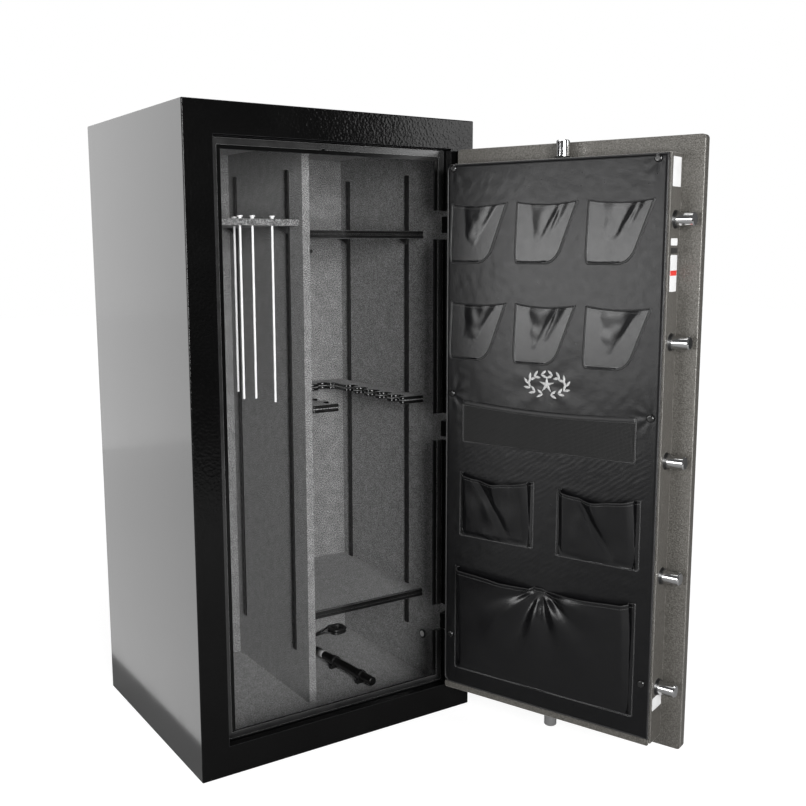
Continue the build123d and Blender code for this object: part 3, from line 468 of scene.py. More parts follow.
def woven(name, dark, light, rough, threads, relief, sheen, specular):
    """Woven nylon: two crossed thread directions along the door panel."""
    mat, tree, shader, place = new_material(
        name, Sheen_Weight=sheen, Sheen_Roughness=0.35, Specular_IOR_Level=specular
    )
    turned = door_axes(tree, place)
    cloth = add(tree, "ShaderNodeMath", {"operation": "MULTIPLY"})
    for way, socket in zip("XZ", cloth.inputs):
        wave = add(
            tree, "ShaderNodeTexWave", {"bands_direction": way}, Vector=turned,
            Scale=threads, Distortion=0.6, Detail=1.0, Detail_Scale=3.0,
        )
        tree.links.new(wave.outputs["Fac"], socket)
    mottle = noise_of(tree, place, 55, 4, 0.6)
    tone = ramp(tree, mottle, (0.3, dark), (0.72, light))
    gaps = spread(tree, cloth.outputs[0], 0.45, 0.0)
    picked = mixed(tree, gaps, tone, (0.004, 0.004, 0.005, 1))
    tree.links.new(picked, shader.inputs["Base Color"])
    tree.links.new(spread(tree, mottle, rough - 0.06, rough + 0.06), shader.inputs["Roughness"])
    crinkle = bumped(tree, shader, noise_of(tree, place, 130, 4, 0.6), relief, 0.0015)
    bumped(tree, shader, cloth.outputs[0], 0.5, 0.0001, crinkle)
    return mat


def mesh_cloth():
    """Black knitted mesh: dark round holes between ridged threads."""
    mat, tree, shader, place = new_material("mesh", Sheen_Weight=0.05, Specular_IOR_Level=0.3)
    turned = door_axes(tree, place, (1.0, 0.0, 1.0))
    holes = add(
        tree, "ShaderNodeTexVoronoi", Vector=turned, Scale=330.0, Randomness=0.12
    ).outputs["Distance"]
    tone = ramp(tree, holes, (0.26, 0.0008), (0.52, 0.011))
    tree.links.new(tone, shader.inputs["Base Color"])
    tree.links.new(spread(tree, holes, 0.7, 0.4), shader.inputs["Roughness"])
    bumped(tree, shader, holes, 0.9, 0.0015)
    return mat


def moulded(name, low, high, rough, relief, scale=260, edge=None, **values):
    """Moulded plastic or rubber with a faint grain; given edge, its corners are painted that lighter
    grey as a painted highlight.
    """
    mat, tree, shader, place = new_material(name, **values)
    mottle = noise_of(tree, place, 30, 4)
    tone = ramp(tree, mottle, (0.3, low), (0.7, high))
    # The edge grey on the corners is a painted highlight.
    if edge is not None:
        tone = mixed(tree, edge_mask(tree, 0.001), tone, (edge, edge, edge, 1))
    tree.links.new(tone, shader.inputs["Base Color"])
    tree.links.new(spread(tree, mottle, rough - 0.05, rough + 0.07), shader.inputs["Roughness"])
    bumped(tree, shader, noise_of(tree, place, scale, 3), relief, 0.0005)
    return mat


def bare_metal(name, low, high, rough, stretch, relief):
    """Metal with fine drawn lines along stretch."""
    mat, tree, shader, place = new_material(name, Metallic=1.0)
    turned = door_axes(tree, place, stretch)
    lines = noise_of(tree, turned, 300, 4)
    smudge = noise_of(tree, place, 25, 3)
    tree.links.new(ramp(tree, smudge, (0.3, low), (0.7, high)), shader.inputs["Base Color"])
    tree.links.new(spread(tree, lines, rough, rough + 0.12), shader.inputs["Roughness"])
    bumped(tree, shader, lines, relief, 0.0004)
    return mat


def board():
    """Chalky fireboard with pits."""
    mat, tree, shader, place = new_material("fireboard", Specular_IOR_Level=0.2, Roughness=0.9)
    pits = noise_of(tree, place, 180, 5, 0.65)
    tree.links.new(
        ramp(tree, pits, (0.35, (0.42, 0.40, 0.36)), (0.6, (0.62, 0.60, 0.56))),
        shader.inputs["Base Color"],
    )
    bumped(tree, shader, pits, 0.5, 0.001)
    return mat


def embroidery():
    """Silver-grey embroidery thread lying in close rows."""
    mat, tree, shader, place = new_material("silver_thread", Sheen_Weight=0.5, Metallic=0.25)
    rows = add(
        tree, "ShaderNodeTexWave", {"bands_direction": "DIAGONAL"}, Vector=place,
        Scale=420.0, Distortion=1.5, Detail=2.0, Detail_Scale=2.0,
    ).outputs["Fac"]
    tree.links.new(
        ramp(tree, rows, (0.1, 0.16), (0.5, 0.55), (0.9, 0.9)), shader.inputs["Base Color"]
    )
    tree.links.new(spread(tree, rows, 0.45, 0.3), shader.inputs["Roughness"])
    bumped(tree, shader, rows, 0.8, 0.0006)
    return mat


FRONT_FACE_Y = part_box("front_frame")[0].y + 0.001

MATERIALS = {
    "body_paint": gloss_paint("body_paint", 0.9, 0.35, 0.09, 0.05, 0.0045, 420, 10.0),
    "frame_paint": gloss_paint("frame_paint", 0.2, 0.05, 0.1, 0.5, 0.001, 190, FRONT_FACE_Y),
    "hammertone": hammertone(),
    # The edge values of seal, black_plastic and trim are greys painted on their corners as painted
    # highlights.
    "seal": moulded("seal", 0.006, 0.012, 0.2, 0.1, edge=0.2, Specular_IOR_Level=0.9),
    "fireboard": board(),
    "carpet": carpet("carpet", 0.02, 0.42),
    "carpeted_board": carpet("carpeted_board", 0.02, 0.34),
    "carpet_light": carpet("carpet_light", 0.04, 0.42),
    "black_plastic": moulded("black_plastic", 0.004, 0.008, 0.3, 0.2, edge=0.07),
    "trim": moulded("trim", 0.003, 0.006, 0.14, 0.06, edge=0.16, Coat_Weight=0.6),
    "white_plastic": moulded("white_plastic", 0.7, 0.82, 0.3, 0.1),
    "steel": bare_metal("steel", 0.35, 0.5, 0.3, (1.0, 1.0, 0.1), 0.25),
    "chrome": bare_metal("chrome", 0.62, 0.72, 0.04, (0.1, 1.0, 1.0), 0.03),
    "dial_black": moulded("dial_black", 0.006, 0.012, 0.22, 0.08, Coat_Weight=0.5),
    "nylon": moulded("snap_plastic", 0.003, 0.007, 0.22, 0.1, Coat_Weight=0.3),
    "panel_nylon": woven("panel_nylon", 0.0012, 0.0024, 0.3, 120.0, 0.12, 0.0, 0.3),
    "pocket_nylon": woven("pocket_nylon", 0.0012, 0.002, 0.24, 160.0, 0.08, 0.0, 0.45),
    "binding": woven("binding", 0.005, 0.014, 0.5, 110.0, 0.3, 0.1, 0.5),
    "thread": moulded("thread", 0.05, 0.12, 0.5, 0.3, 900),
    "silver_thread": embroidery(),
    "mesh": mesh_cloth(),
    "heater": moulded("heater", 0.004, 0.008, 0.3, 0.12),
    "cord": moulded("cord", 0.004, 0.008, 0.42, 0.15),
    "brass": bare_metal("brass", (0.5, 0.34, 0.11), (0.62, 0.44, 0.16), 0.25, (1.0, 1.0, 1.0), 0.1),
    "paper": moulded("paper", 0.6, 0.68, 0.45, 0.1),
    "red_ink": moulded("red_ink", (0.55, 0.02, 0.015), (0.66, 0.035, 0.02), 0.4, 0.1),
    "dial_mark": moulded("dial_mark", 0.75, 0.85, 0.45, 0.1),
}

NODE_MATERIAL = {
    "body_paint": ["body_shell"],
    "frame_paint": ["front_frame", "hinge_ears", "hinge_arms"],
    "seal": ["door_seal"],
    "hammertone": ["door_pan", "door_inner_skin", "door_box", "box_cover"],
    "fireboard": ["fireboards", "door_fireboard"],
    "carpet": ["carpet_walls", "carpet_ceiling"],
    "carpet_light": ["divider", "carpet_floor"],
    "carpeted_board": ["left_shelf", "right_shelves", "barrel_rest_right", "barrel_rest_divider"],
    "black_plastic": [
        "shelf_standards", "shelf_clips", "cable_port_surround", "bolt_collars", "heater_feet",
    ],
    "trim": ["shelf_trims"],
    "white_plastic": ["rifle_rods", "cable_port_cap"],
    "steel": [
        "hinge_pins", "bolt_guides", "lock_case", "hard_plate",
        "handle_shaft", "handle_gears", "side_bolt_carriage", "top_bolt_rod", "bottom_bolt_rod",
        "dial_spindle",
    ],
    "chrome": [
        "side_bolts", "top_bolt", "bottom_bolt", "handle_rose", "handle_hub", "handle_spokes",
    ],
    "dial_black": ["dial_ring", "dial_knob"],
    "nylon": ["organiser_snaps"],
    "heater": ["heater_rod"],
    "cord": ["heater_gland", "plug_body"],
    "brass": ["plug_blades", "lock_bolt"],
}


def paint_nodes():
    """Gives every CAD node that shows its procedural material."""
    for material, names in NODE_MATERIAL.items():
        for name in names:
            slots = frame["nodes"][name].material_slots
            for slot in slots:
                slot.material = MATERIALS[material]
            if not slots:
                frame["nodes"][name].data.materials.append(MATERIALS[material])


# ------------------------------------------------------------------ door organiser

PANEL_LOW, PANEL_HIGH = node_solids("organiser_panel")[0]
FACE = PANEL_HIGH.y
UPPER_SLANT = 0.052
OUT = Vector((0, 1, 0))
SIM_FRAMES = 22
SIM_CAP = 0.007


def smooth_noise(x, z, scale, seed):
    """Signed noise over arrays of places on the panel, so many cells per metre."""
    flat = [
        noise.noise((a * scale, b * scale, seed)) for a, b in zip(x.ravel(), z.ravel())
    ]
    return np.array(flat).reshape(x.shape)


def unit_grid(rows, cols):
    """v up the rows and u from the hinge side along the columns, both 0 to 1."""
    v, u = np.meshgrid(np.linspace(0, 1, rows), np.linspace(0, 1, cols), indexing="ij")
    return u, v


def stacked(x, y, z):
    return np.stack([x, y, z], axis=-1)


def upper_pocket(box, seed):
    """Draft of a holster pocket: free side slanting in, a ridge leaning across, a loose mouth."""
    low, high = box
    u, v = unit_grid(38, 42)
    rounding = 1 - np.sqrt(1 - np.clip((0.24 - v) / 0.24, 0, 1) ** 2)
    x_hinge = high.x - 0.006 * v - 0.006 * rounding
    x_free = low.x + UPPER_SLANT * (1 - v) + 0.024 * rounding
    x = x_hinge * (1 - u) + x_free * u
    z = low.z + (high.z - low.z) * v - 0.006 * np.sin(pi * u) * v**3
    ridge = 0.42 + 0.24 * v + 0.07 * sin(3.1 * seed)
    rise = np.where(u < ridge, u / ridge, (1 - u) / (1 - ridge))
    y = FACE + 0.0006 + (0.0045 + 0.0065 * v) * np.sin(pi / 2 * rise) ** 0.9
    crease = 0.11 + 0.05 * cos(2.3 * seed)
    fold = np.exp(-(((u - ridge - crease) / 0.035) ** 2))
    y -= 0.005 * fold * np.sin(pi * np.clip(v, 0.03, 0.92))
    foot = np.exp(-((v - 0.09) / 0.06) ** 2) * np.exp(-((u - 0.62) / 0.2) ** 2)
    y += foot * 0.0022 * np.sin(34 * u + 2 * seed)
    y = np.maximum(y + 0.0012 * smooth_noise(x, z, 38, seed) * np.sin(pi * u), FACE + 0.0005)
    return {"name": f"upper_pocket_{seed}", "points": stacked(x, y, z), "grow": 0.009}


def section(u, width, depth, knots):
    """Inset from the hinge side and height off the panel for u across a gusseted pocket."""
    marks, insets, shares = zip(*knots)
    inset = [i if i >= 0 else width + i for i in insets]
    return np.interp(u, marks, inset), np.interp(u, marks, shares) * depth


GUSSETED = (
    (0.0, 0.0, 0.0), (0.06, 0.009, 0.0), (0.10, 0.011, 0.22), (0.15, 0.004, 0.55),
    (0.21, 0.015, 0.95), (0.5, 0.08, 1.0), (0.79, -0.024, 0.9), (0.85, -0.006, 0.5),
    (0.90, -0.016, 0.2), (0.94, -0.009, 0.0), (1.0, -0.0001, 0.0),
)


def gusseted(low, high, u, v, depth):
    """Places on a pocket with folded sides, open at the top."""
    width = high.x - low.x
    knots = [list(k) for k in GUSSETED]
    knots[5][1] = (knots[4][1] + width + knots[6][1]) / 2
    inset, height = section(u, width, depth, knots)
    front = np.clip((u - 0.15) / 0.7, 0, 1)
    z = low.z + (high.z - low.z) * v
    z = z - 0.012 * np.sin(pi * front) ** 0.6 * v**4
    return high.x - inset, FACE + 0.0006 + height, z, front


def lower_pocket(box, seed):
    """Draft of a gusseted pocket whose front leans out towards its mouth."""
    low, high = box
    u, v = unit_grid(44, 62)
    depth = (high.y - FACE) * (0.25 + 0.72 * v) * np.clip(v / 0.1, 0, 1) ** 0.5
    x, y, z, front = gusseted(low, high, u, v, depth)
    inside = np.sin(pi * front)
    fold = np.exp(-(((front - 0.30 - 0.45 * (1 - v)) / 0.06) ** 2))
    y -= 0.006 * fold * inside * np.clip(v * 2, 0, 1) * (1 if seed % 2 else 0.7)
    y += 0.0035 * smooth_noise(x, z, 17, seed + 5) * inside
    y = np.maximum(y, FACE + 0.0005)
    return {"name": f"lower_pocket_{seed}", "points": stacked(x, y, z), "grow": 0.02}


def bottom_pocket(box):
    """Draft of the wide pocket, tacked to the panel at the middle of its mouth."""
    low, high = box
    rows, cols = 60, 116
    u, v = unit_grid(rows, cols)
    depth = (high.y - FACE) * (0.28 + 0.66 * v) * np.clip(v / 0.07, 0, 1) ** 0.5
    x, y, z, front = gusseted(low, high, u, v, depth)
    tack = Vector(((low.x + high.x) / 2, 0, high.z - 0.012))
    across, down = x - tack.x, tack.z - z
    reach = np.hypot(across, down) + 1e-6
    angle = np.arctan2(across, down)
    pull = 1 - 0.94 * np.exp(-((reach / 0.055) ** 2))
    rays = np.sin(angle * 8.5 + 0.6) * np.exp(-reach / 0.13) * (1 - np.exp(-reach / 0.02))
    y = FACE + 0.0006 + (y - FACE - 0.0006) * pull + 0.0075 * rays * np.sin(pi * front)
    y += 0.003 * smooth_noise(x, z, 11, 3.3) * np.sin(pi * front)
    y = np.maximum(y, FACE + 0.0005)
    points = stacked(x, y, z)
    return {"name": "bottom_pocket_cloth", "points": points, "grow": 0.012, "tack": cols // 2}


def mesh_pocket(box):
    """Draft of the shallow mesh pocket with its sagging mouth."""
    low, high = box
    u, v = unit_grid(20, 96)
    x = high.x - (high.x - low.x) * u
    z = low.z + (high.z - low.z) * v - 0.009 * np.sin(pi * u) * v**2
    y = FACE + 0.0008 + 0.0042 * np.sin(pi * u) ** 0.7 * (0.25 + 0.75 * v)
    y = y + 0.0008 * smooth_noise(x, z, 20, 9) * np.sin(pi * u)
    return {"name": "mesh_pocket_cloth", "points": stacked(x, y, z), "grow": 0.0}


def settle(drafts):
    """Lets the pockets' cloth buckle and sag where it is sewn, with the panel behind it."""
    scene = bpy.context.scene
    corners = [(x, FACE - 0.0004, z) for x, z in ((-0.4, 0), (0.4, 0), (0.4, 1.6), (-0.4, 1.6))]
    wall = mesh_object("sim_wall", corners, [(0, 1, 2, 3)])
    wall.modifiers.new("wall", "COLLISION")
    wall.collision.thickness_outer = 0.001
    cloths = []
    for draft in drafts:
        rows, cols = draft["points"].shape[:2]
        points = draft["points"].reshape(-1, 3)
        cloth = mesh_object("sim_" + draft["name"], points, grid_faces(rows, cols))
        sewn = [i for i in range(rows * cols) if i < cols or i % cols in (0, cols - 1)]
        if "tack" in draft:
            sewn += [(rows - 1) * cols + draft["tack"] + k for k in (-1, 0, 1)]
        cloth.vertex_groups.new(name="sewn").add(sewn, 1.0, "REPLACE")
        modifier = cloth.modifiers.new("cloth", "CLOTH")
        rules = modifier.settings
        rules.quality = 5
        rules.mass = 0.1
        rules.tension_stiffness = 18
        rules.compression_stiffness = 18
        rules.shear_stiffness = 6
        rules.bending_stiffness = 0.12
        rules.vertex_group_mass = "sewn"
        rules.shrink_min = -draft["grow"]
        rules.effector_weights.gravity = 0.5
        modifier.collision_settings.distance_min = 0.001
        modifier.point_cache.frame_start = 1
        modifier.point_cache.frame_end = SIM_FRAMES
        cloths.append(cloth)
    for step in range(1, SIM_FRAMES + 1):
        scene.frame_set(step)
    graph = bpy.context.evaluated_depsgraph_get()
    for draft, cloth in zip(drafts, cloths):
        settled = cloth.evaluated_get(graph).data
        found = np.empty(len(settled.vertices) * 3)
        settled.vertices.foreach_get("co", found)
        move = found.reshape(draft["points"].shape) - draft["points"]
        length = np.linalg.norm(move, axis=-1, keepdims=True)
        move *= np.minimum(1, SIM_CAP / np.maximum(length, 1e-9))
        draft["points"] = draft["points"] + move
        draft["points"][..., 1] = np.maximum(draft["points"][..., 1], FACE + 0.0004)
        bpy.data.objects.remove(cloth)
    bpy.data.objects.remove(wall)
    scene.frame_set(1)


CLOTH_T = 0.0007
BINDING_STEP = 0.004
HEM_W = 0.0026
HEM_T = 0.0014


def cloth_shell(points):
    """A thin closed sheet of cloth over a grid of points."""
    rows, cols = points.shape[:2]
    du = np.gradient(points, axis=1)
    dv = np.gradient(points, axis=0)
    normal = np.cross(dv, du)
    normal /= np.maximum(np.linalg.norm(normal, axis=-1, keepdims=True), 1e-9)
    normal[normal[..., 1] < 0] *= -1
    outer = (points + normal * CLOTH_T).reshape(-1, 3)
    inner = points.reshape(-1, 3)
    count = rows * cols
    faces = [f[::-1] for f in grid_faces(rows, cols)] + grid_faces(rows, cols, count)
    rim = grid_rim(rows, cols)
    for a, b in zip(rim, rim[1:] + rim[:1]):
        faces.append((a + count, b + count, b, a))
    return np.concatenate([outer, inner]), faces


def lifted(line, height):
    return [Vector(p) + OUT * height for p in line]


def sewn_edges(draft, width, height):
    """Binding and stitching along a pocket's three sewn sides."""
    points = draft["points"]
    line = list(points[::-1, 0]) + list(points[0, 1:]) + list(points[1:, -1])
    line = resample([(p[0], FACE + 0.0004, p[2]) for p in line], BINDING_STEP)
    return bead(line, width, height), stitches(lifted(line, height))


def mouth(draft):
    """A rolled hem and a stitch line two rows below it along a pocket's mouth."""
    points = draft["points"]
    top = resample(lifted(points[-1], CLOTH_T), BINDING_STEP)
    hem = bead(top, HEM_W, HEM_T, sides=8, whole=True)
    return hem, stitches(lifted(points[-3], CLOTH_T + 0.0002))


def make_pockets():
    """Every pocket of the organiser with its binding, hem and stitching."""
    uppers = [upper_pocket(box, i) for i, box in enumerate(node_solids("upper_pockets"))]
    lowers = [lower_pocket(box, i) for i, box in enumerate(node_solids("lower_pockets"))]
    wide = bottom_pocket(node_solids("bottom_pocket")[0])
    net = mesh_pocket(node_solids("mesh_pocket")[0])
    settle(uppers + lowers + [wide])
    kinds = (
        (uppers, "upper_pockets", 0.0068, 0.0016), (lowers, "lower_pockets", 0.0034, 0.0012),
        ([wide], "bottom_pocket", 0.0034, 0.0012), ([net], "mesh_pocket", 0.006, 0.0015),
    )
    for drafts, node, width, height in kinds:
        for draft in drafts:
            slot = "mesh" if draft is net else "pocket_nylon"
            body = door_piece(draft["name"], *cloth_shell(draft["points"]), slot, [node])
            edge, seam = sewn_edges(draft, width, height)
            hem, hem_seam = mouth(draft)
            binding = [edge, hem]
            if draft is net:
                band = resample(lifted(draft["points"][-2], CLOTH_T), 0.005)
                binding.append(bead(band, 0.010, 0.0012))
            trim = door_piece(draft["name"] + "_binding", *merged(binding), "binding")
            thread = door_piece(draft["name"] + "_stitches", *merged([seam, hem_seam]), "thread")
            SHEETS.append((body, draft["points"], [trim, thread]))


SHEETS = []


def declare_sheets():
    """Measures each pocket front's flat width and length across and down its cloth, and its area."""
    for piece, points, sewn_on in SHEETS:
        across = np.linalg.norm(np.diff(points, axis=1), axis=-1).sum(axis=1)
        down = np.linalg.norm(np.diff(points, axis=0), axis=-1).sum(axis=0)
        width, length = float(across.max()), float(down.max())
        du, dv = np.diff(points, axis=1)[:-1], np.diff(points, axis=0)[:, :-1]
        area = float(np.linalg.norm(np.cross(du, dv), axis=-1).sum())
        area = min(area, width * length)


def dimples(x, z, spots, depth, size):
    """Tucks that pull the cloth in at each spot, with short creases around it."""
    total = np.zeros_like(x)
    for px, pz in spots:
        reach = np.hypot(x - px, z - pz)
        angle = np.arctan2(z - pz, x - px)
        total -= depth * np.exp(-((reach / size) ** 2))
        ring = np.exp(-(((reach - 1.8 * size) / (1.6 * size)) ** 2))
        total += 0.5 * depth * np.sin(7 * angle + 9 * px) * ring
    return total


PANEL_GRID = (132, 312)
PANEL_ROLL = 0.0035
WRINKLE_PITCH = 0.0125
PIPING_INSET = 0.002
PIPING_W = 0.0044
PIPING_T = 0.0026


def make_panel(badge_box):
    """The foam-backed nylon sheet of the organiser, rolled at its edges."""
    low, high = PANEL_LOW, PANEL_HIGH
    cols, rows = PANEL_GRID
    xs = np.concatenate([[low.x], np.linspace(low.x, high.x, cols), [high.x]])
    zs = np.concatenate([[low.z], np.linspace(low.z, high.z, rows), [high.z]])
    z, x = np.meshgrid(zs, xs, indexing="ij")
    inset = np.minimum.reduce([x - low.x, high.x - x, z - low.z, high.z - z])
    y = FACE - 0.0022 * (1 - np.sqrt(1 - np.clip((PANEL_ROLL - inset) / PANEL_ROLL, 0, 1) ** 2))
    inner = np.clip((inset - PANEL_ROLL) / 0.03, 0, 1)
    y = y + 0.0007 * smooth_noise(x, z, 9, 1.7) * inner
    y = y + 0.00025 * smooth_noise(x, z, 55, 4.1) * inner
    snaps = [((a.x + b.x) / 2, (a.z + b.z) / 2) for a, b in node_solids("organiser_snaps")]
    y = y + dimples(x, z, snaps, 0.0010, 0.012) * inner
    centre = (badge_box[0] + badge_box[1]) / 2
    y = y + dimples(x, z, [(centre.x, centre.z)], 0.0008, 0.032)
    band = np.exp(-(((z - 0.70) / 0.09) ** 2)) + 0.5 * np.exp(-(((z - 0.47) / 0.05) ** 2))
    wrinkle = np.sin(2 * pi * (0.7 * x + z) / WRINKLE_PITCH + 3 * smooth_noise(x, z, 30, 6))
    y = y + 0.0003 * band * inner * wrinkle
    y[0], y[-1], y[:, 0], y[:, -1] = (low.y,) * 4
    count_rows, count_cols = x.shape
    points = stacked(x, y, z).reshape(-1, 3)
    faces = [f[::-1] for f in grid_faces(count_rows, count_cols)]
    faces.append(tuple(grid_rim(count_rows, count_cols)))
    sheet = door_piece("organiser_sheet", points, faces, "panel_nylon", ["organiser_panel"])
    left, right = low.x + PIPING_INSET, high.x - PIPING_INSET
    foot, top = low.z + PIPING_INSET, high.z - PIPING_INSET
    loop = ((left, foot), (right, foot), (right, top), (left, top))
    path = [Vector((a, FACE - 0.0016, b)) for a, b in loop]
    path = resample(path + path[:1], 0.02)[:-1]
    piping = bead(path, PIPING_W, PIPING_T, closed=True)
    door_piece("organiser_piping", *piping, "binding")


LEAF = (0.017, 0.0062, 0.0014)
STAR_R = 0.019
STAR_ARM_W = 0.0105


def make_badge(box):
    """Raised embroidery: a wreath of leaves around a five-pointed star."""
    low, high = box
    mid = (low + high) / 2
    wide, tall = (high.x - low.x) / 2 - 0.010, (high.z - low.z) / 2 - 0.009
    parts = []

    def petal(start, way, length, width, height):
        """One satin-stitched shape, widest near its middle."""
        line = [start + way * (length * k / 8) for k in range(9)]
        widths = [width * max(0.12, sin(pi * k / 8) ** 0.8) for k in range(9)]
        parts.append(bead(line, widths, height, sides=7))

    for side in (-1, 1):
        for k in range(7):
            angle = radians(-78 + 25 * k)
            across, up = side * wide * cos(angle), tall * sin(angle)
            spot = Vector((mid.x + across, FACE + 0.0004, mid.z + up))
            tangent = Vector((-side * wide * sin(angle), 0, tall * cos(angle))).normalized()
            for lean in (-0.55, 0.55):
                way = (Matrix.Rotation(lean, 3, "Y") @ tangent).normalized()
                petal(spot, way, *LEAF)
    for k in range(5):
        way = Vector((sin(2 * pi * k / 5), 0, cos(2 * pi * k / 5)))
        centre = Vector((mid.x, FACE + 0.0005, mid.z))
        line = [centre + way * (STAR_R * j / 8) for j in range(9)]
        parts.append(bead(line, [STAR_ARM_W * (1 - 0.93 * j / 8) for j in range(9)], 0.0018))
    door_piece("badge_embroidery", *merged(parts), "silver_thread", ["badge"])


# ------------------------------------------------------------------ labels, wall button and rest trim


def label(name, corners, lift, material):
    """A thin blank label from its outline, given with the door shut, lifted off along lift."""
    front = [Vector(c) + lift for c in corners]
    points = front + [Vector(c) for c in corners]
    n = len(corners)
    faces = [tuple(range(n)), tuple(range(2 * n - 1, n - 1, -1))]
    faces += [(k, n + k, n + (k + 1) % n, (k + 1) % n) for k in range(n)]
    return door_piece(name, points, faces, material, smooth=False)


def rounded(y0, y1, z0, z1, x, r=0.0025):
    """A rounded rectangle on the side of the boltwork box."""
    mid_y, mid_z = (y0 + y1) / 2, (z0 + z1) / 2
    half_y, half_z = (y1 - y0) / 2 - r, (z1 - z0) / 2 - r
    line = []
    for quarter, (sy, sz) in enumerate(((1, 1), (-1, 1), (-1, -1), (1, -1))):
        for k in range(5):
            a = radians(90 * quarter + 22.5 * k)
            line.append((x, mid_y + sy * half_y + r * cos(a), mid_z + sz * half_z + r * sin(a)))
    return line


LABEL_T = 0.0003
# Each label: name, lowest and highest y and z with the door shut, material.
LABELS = (
    ("label_top", -0.287, -0.243, 1.342, 1.404, "paper"),
    ("label_upper", -0.281, -0.245, 1.219, 1.234, "paper"),
    ("label_dark", -0.283, -0.246, 1.202, 1.214, "black_plastic"),
    ("label_long", -0.283, -0.246, 1.121, 1.199, "paper"),
    ("label_low", -0.290, -0.239, 0.176, 0.206, "paper"),
)
RED_BAND = (-0.282, -0.247, 1.155, 1.166)


def make_labels():
    """Blank labels on the opening side of the boltwork box, one with a plain red band."""
    side = node_solids("door_box")[0][0].x - 0.0001
    out = Vector((-LABEL_T, 0, 0))
    for name, y0, y1, z0, z1, slot in LABELS:
        label(name, rounded(y0, y1, z0, z1, side), out, slot)
    band = rounded(*RED_BAND, side - LABEL_T, 0.0006)
    label("label_band", band, out * 0.5, "red_ink")


def lathe(profile, centre, axis, sides=32):
    """A turned shape: (radius, height along axis) pairs about centre."""
    axis = Vector(axis).normalized()
    first = axis.orthogonal().normalized()
    second = axis.cross(first)
    turns = [2 * pi * k / sides for k in range(sides)]
    spokes = [first * cos(turn) + second * sin(turn) for turn in turns]
    points = [Vector(centre) + axis * h + spoke * r for r, h in profile for spoke in spokes]
    return points, grid_faces(len(profile), sides, ring=True)


WALL_HOLE = (0.258, 1.204)
HOLE_PROFILE = (
    (0.0001, 0.0002), (0.0030, 0.0002), (0.0036, 0.0014), (0.0046, 0.0016), (0.0054, 0.0010),
    (0.0058, -0.0004), (0.0001, -0.0004),
)


def make_wall_button():
    """A small black grommet in the back wall."""
    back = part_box("divider")[1].y
    points, faces = lathe(HOLE_PROFILE, (WALL_HOLE[0], back, WALL_HOLE[1]), (0, -1, 0))
    finish_piece(mesh_object("wall_grommet", points, faces), "safe_body", "black_plastic")


def free_outline(node):
    """Runs of a board's top outline that don't touch a wall or the divider."""
    top_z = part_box(node)[1].z
    wall_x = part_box("shelf_standards")[1].x - 0.002
    wall_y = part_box("divider")[1].y - 0.002
    divider_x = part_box("divider")[1].x + 0.002
    bm = bmesh.new()
    bm.from_mesh(frame["nodes"][node].data)
    bmesh.ops.remove_doubles(bm, verts=bm.verts, dist=1e-5)
    level = [f for f in bm.faces if f.normal.z > 0.9]
    top = [f for f in level if f.calc_center_median().z > top_z - 1e-4]
    inside = set(top)
    edges = [e for f in top for e in f.edges if sum(g in inside for g in e.link_faces) == 1]
    links = {}
    for e in edges:
        a, b = e.verts
        mid = (a.co + b.co) / 2
        if mid.x > wall_x or mid.y > wall_y or mid.x < divider_x:
            continue
        for p, q in ((a, b), (b, a)):
            links.setdefault(p, []).append(q)
    runs, seen = [], set()
    for start in sorted((v for v in links if len(links[v]) == 1), key=lambda v: tuple(v.co)):
        if start in seen:
            continue
        run, here = [start], start
        while True:
            seen.add(here)
            ahead = [v for v in links[here] if v not in seen]
            if not ahead:
                break
            here = ahead[0]
            run.append(here)
        runs.append([v.co.copy() for v in run])
    bm.free()
    return [r for r in runs if len(r) > 6]


RIDGE_INSET = 0.0045
RIDGE_W = 0.0052
RIDGE_T = 0.0044


def make_rest_trims():
    """Two-ridged edge moulding that follows the barrel rests' scalloped edges."""
    for node in ("barrel_rest_right", "barrel_rest_divider"):
        low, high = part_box(node)
        parts = []
        for run in free_outline(node):
            line = resample(run, 0.004)
            for z in (high.z - RIDGE_INSET, low.z + RIDGE_INSET):
                flat = [Vector((p.x, p.y, z)) for p in line]
                ridge = bead(flat, RIDGE_W, RIDGE_T, up=Vector((0, 0, 1)), sides=10, whole=True)
                parts.append(ridge)
        if parts:
            trim = mesh_object(node + "_moulding", *merged(parts))
            finish_piece(trim, "safe_body", "trim")


# ------------------------------------------------------------------ heating rod label and cord

HEATER_TURN = radians(4.4)
LABEL_REACH = (0.092, 0.122)
CORD_D = 0.005
LEAD_POINTS = (
    (0.16511, 0.15254, 0.043), (0.16350, 0.17348, 0.043), (0.160, 0.195, 0.037),
    (0.160, 0.217, 0.0276), (0.168, 0.239, 0.0256), (0.186, 0.256, 0.0256),
    (0.210, 0.266, 0.0266), (0.236, 0.268, 0.0286), (0.258, 0.268, 0.0304),
    (0.275, 0.265, 0.0304),
)
PLUG_POINTS = (
    (0.280, 0.284, 0.0346), (0.262, 0.278, 0.0306), (0.236, 0.280, 0.0286),
    (0.209, 0.285, 0.0268), (0.182, 0.284, 0.0276), (0.156, 0.275, 0.0296),
    (0.132, 0.264, 0.0316),
)
COIL_CENTRE = (0.315, 0.270)
COIL_LANES = (
    (0.0253, 0.0299), (0.0230, 0.0256), (0.0180, 0.0256), (0.0205, 0.0299),
    (0.0180, 0.0343), (0.0230, 0.0343), (0.0205, 0.0386), (0.0253, 0.0386), (0.0253, 0.0386),
)
COIL_STEPS = 16
COIL_START = 205
COIL_END = 118


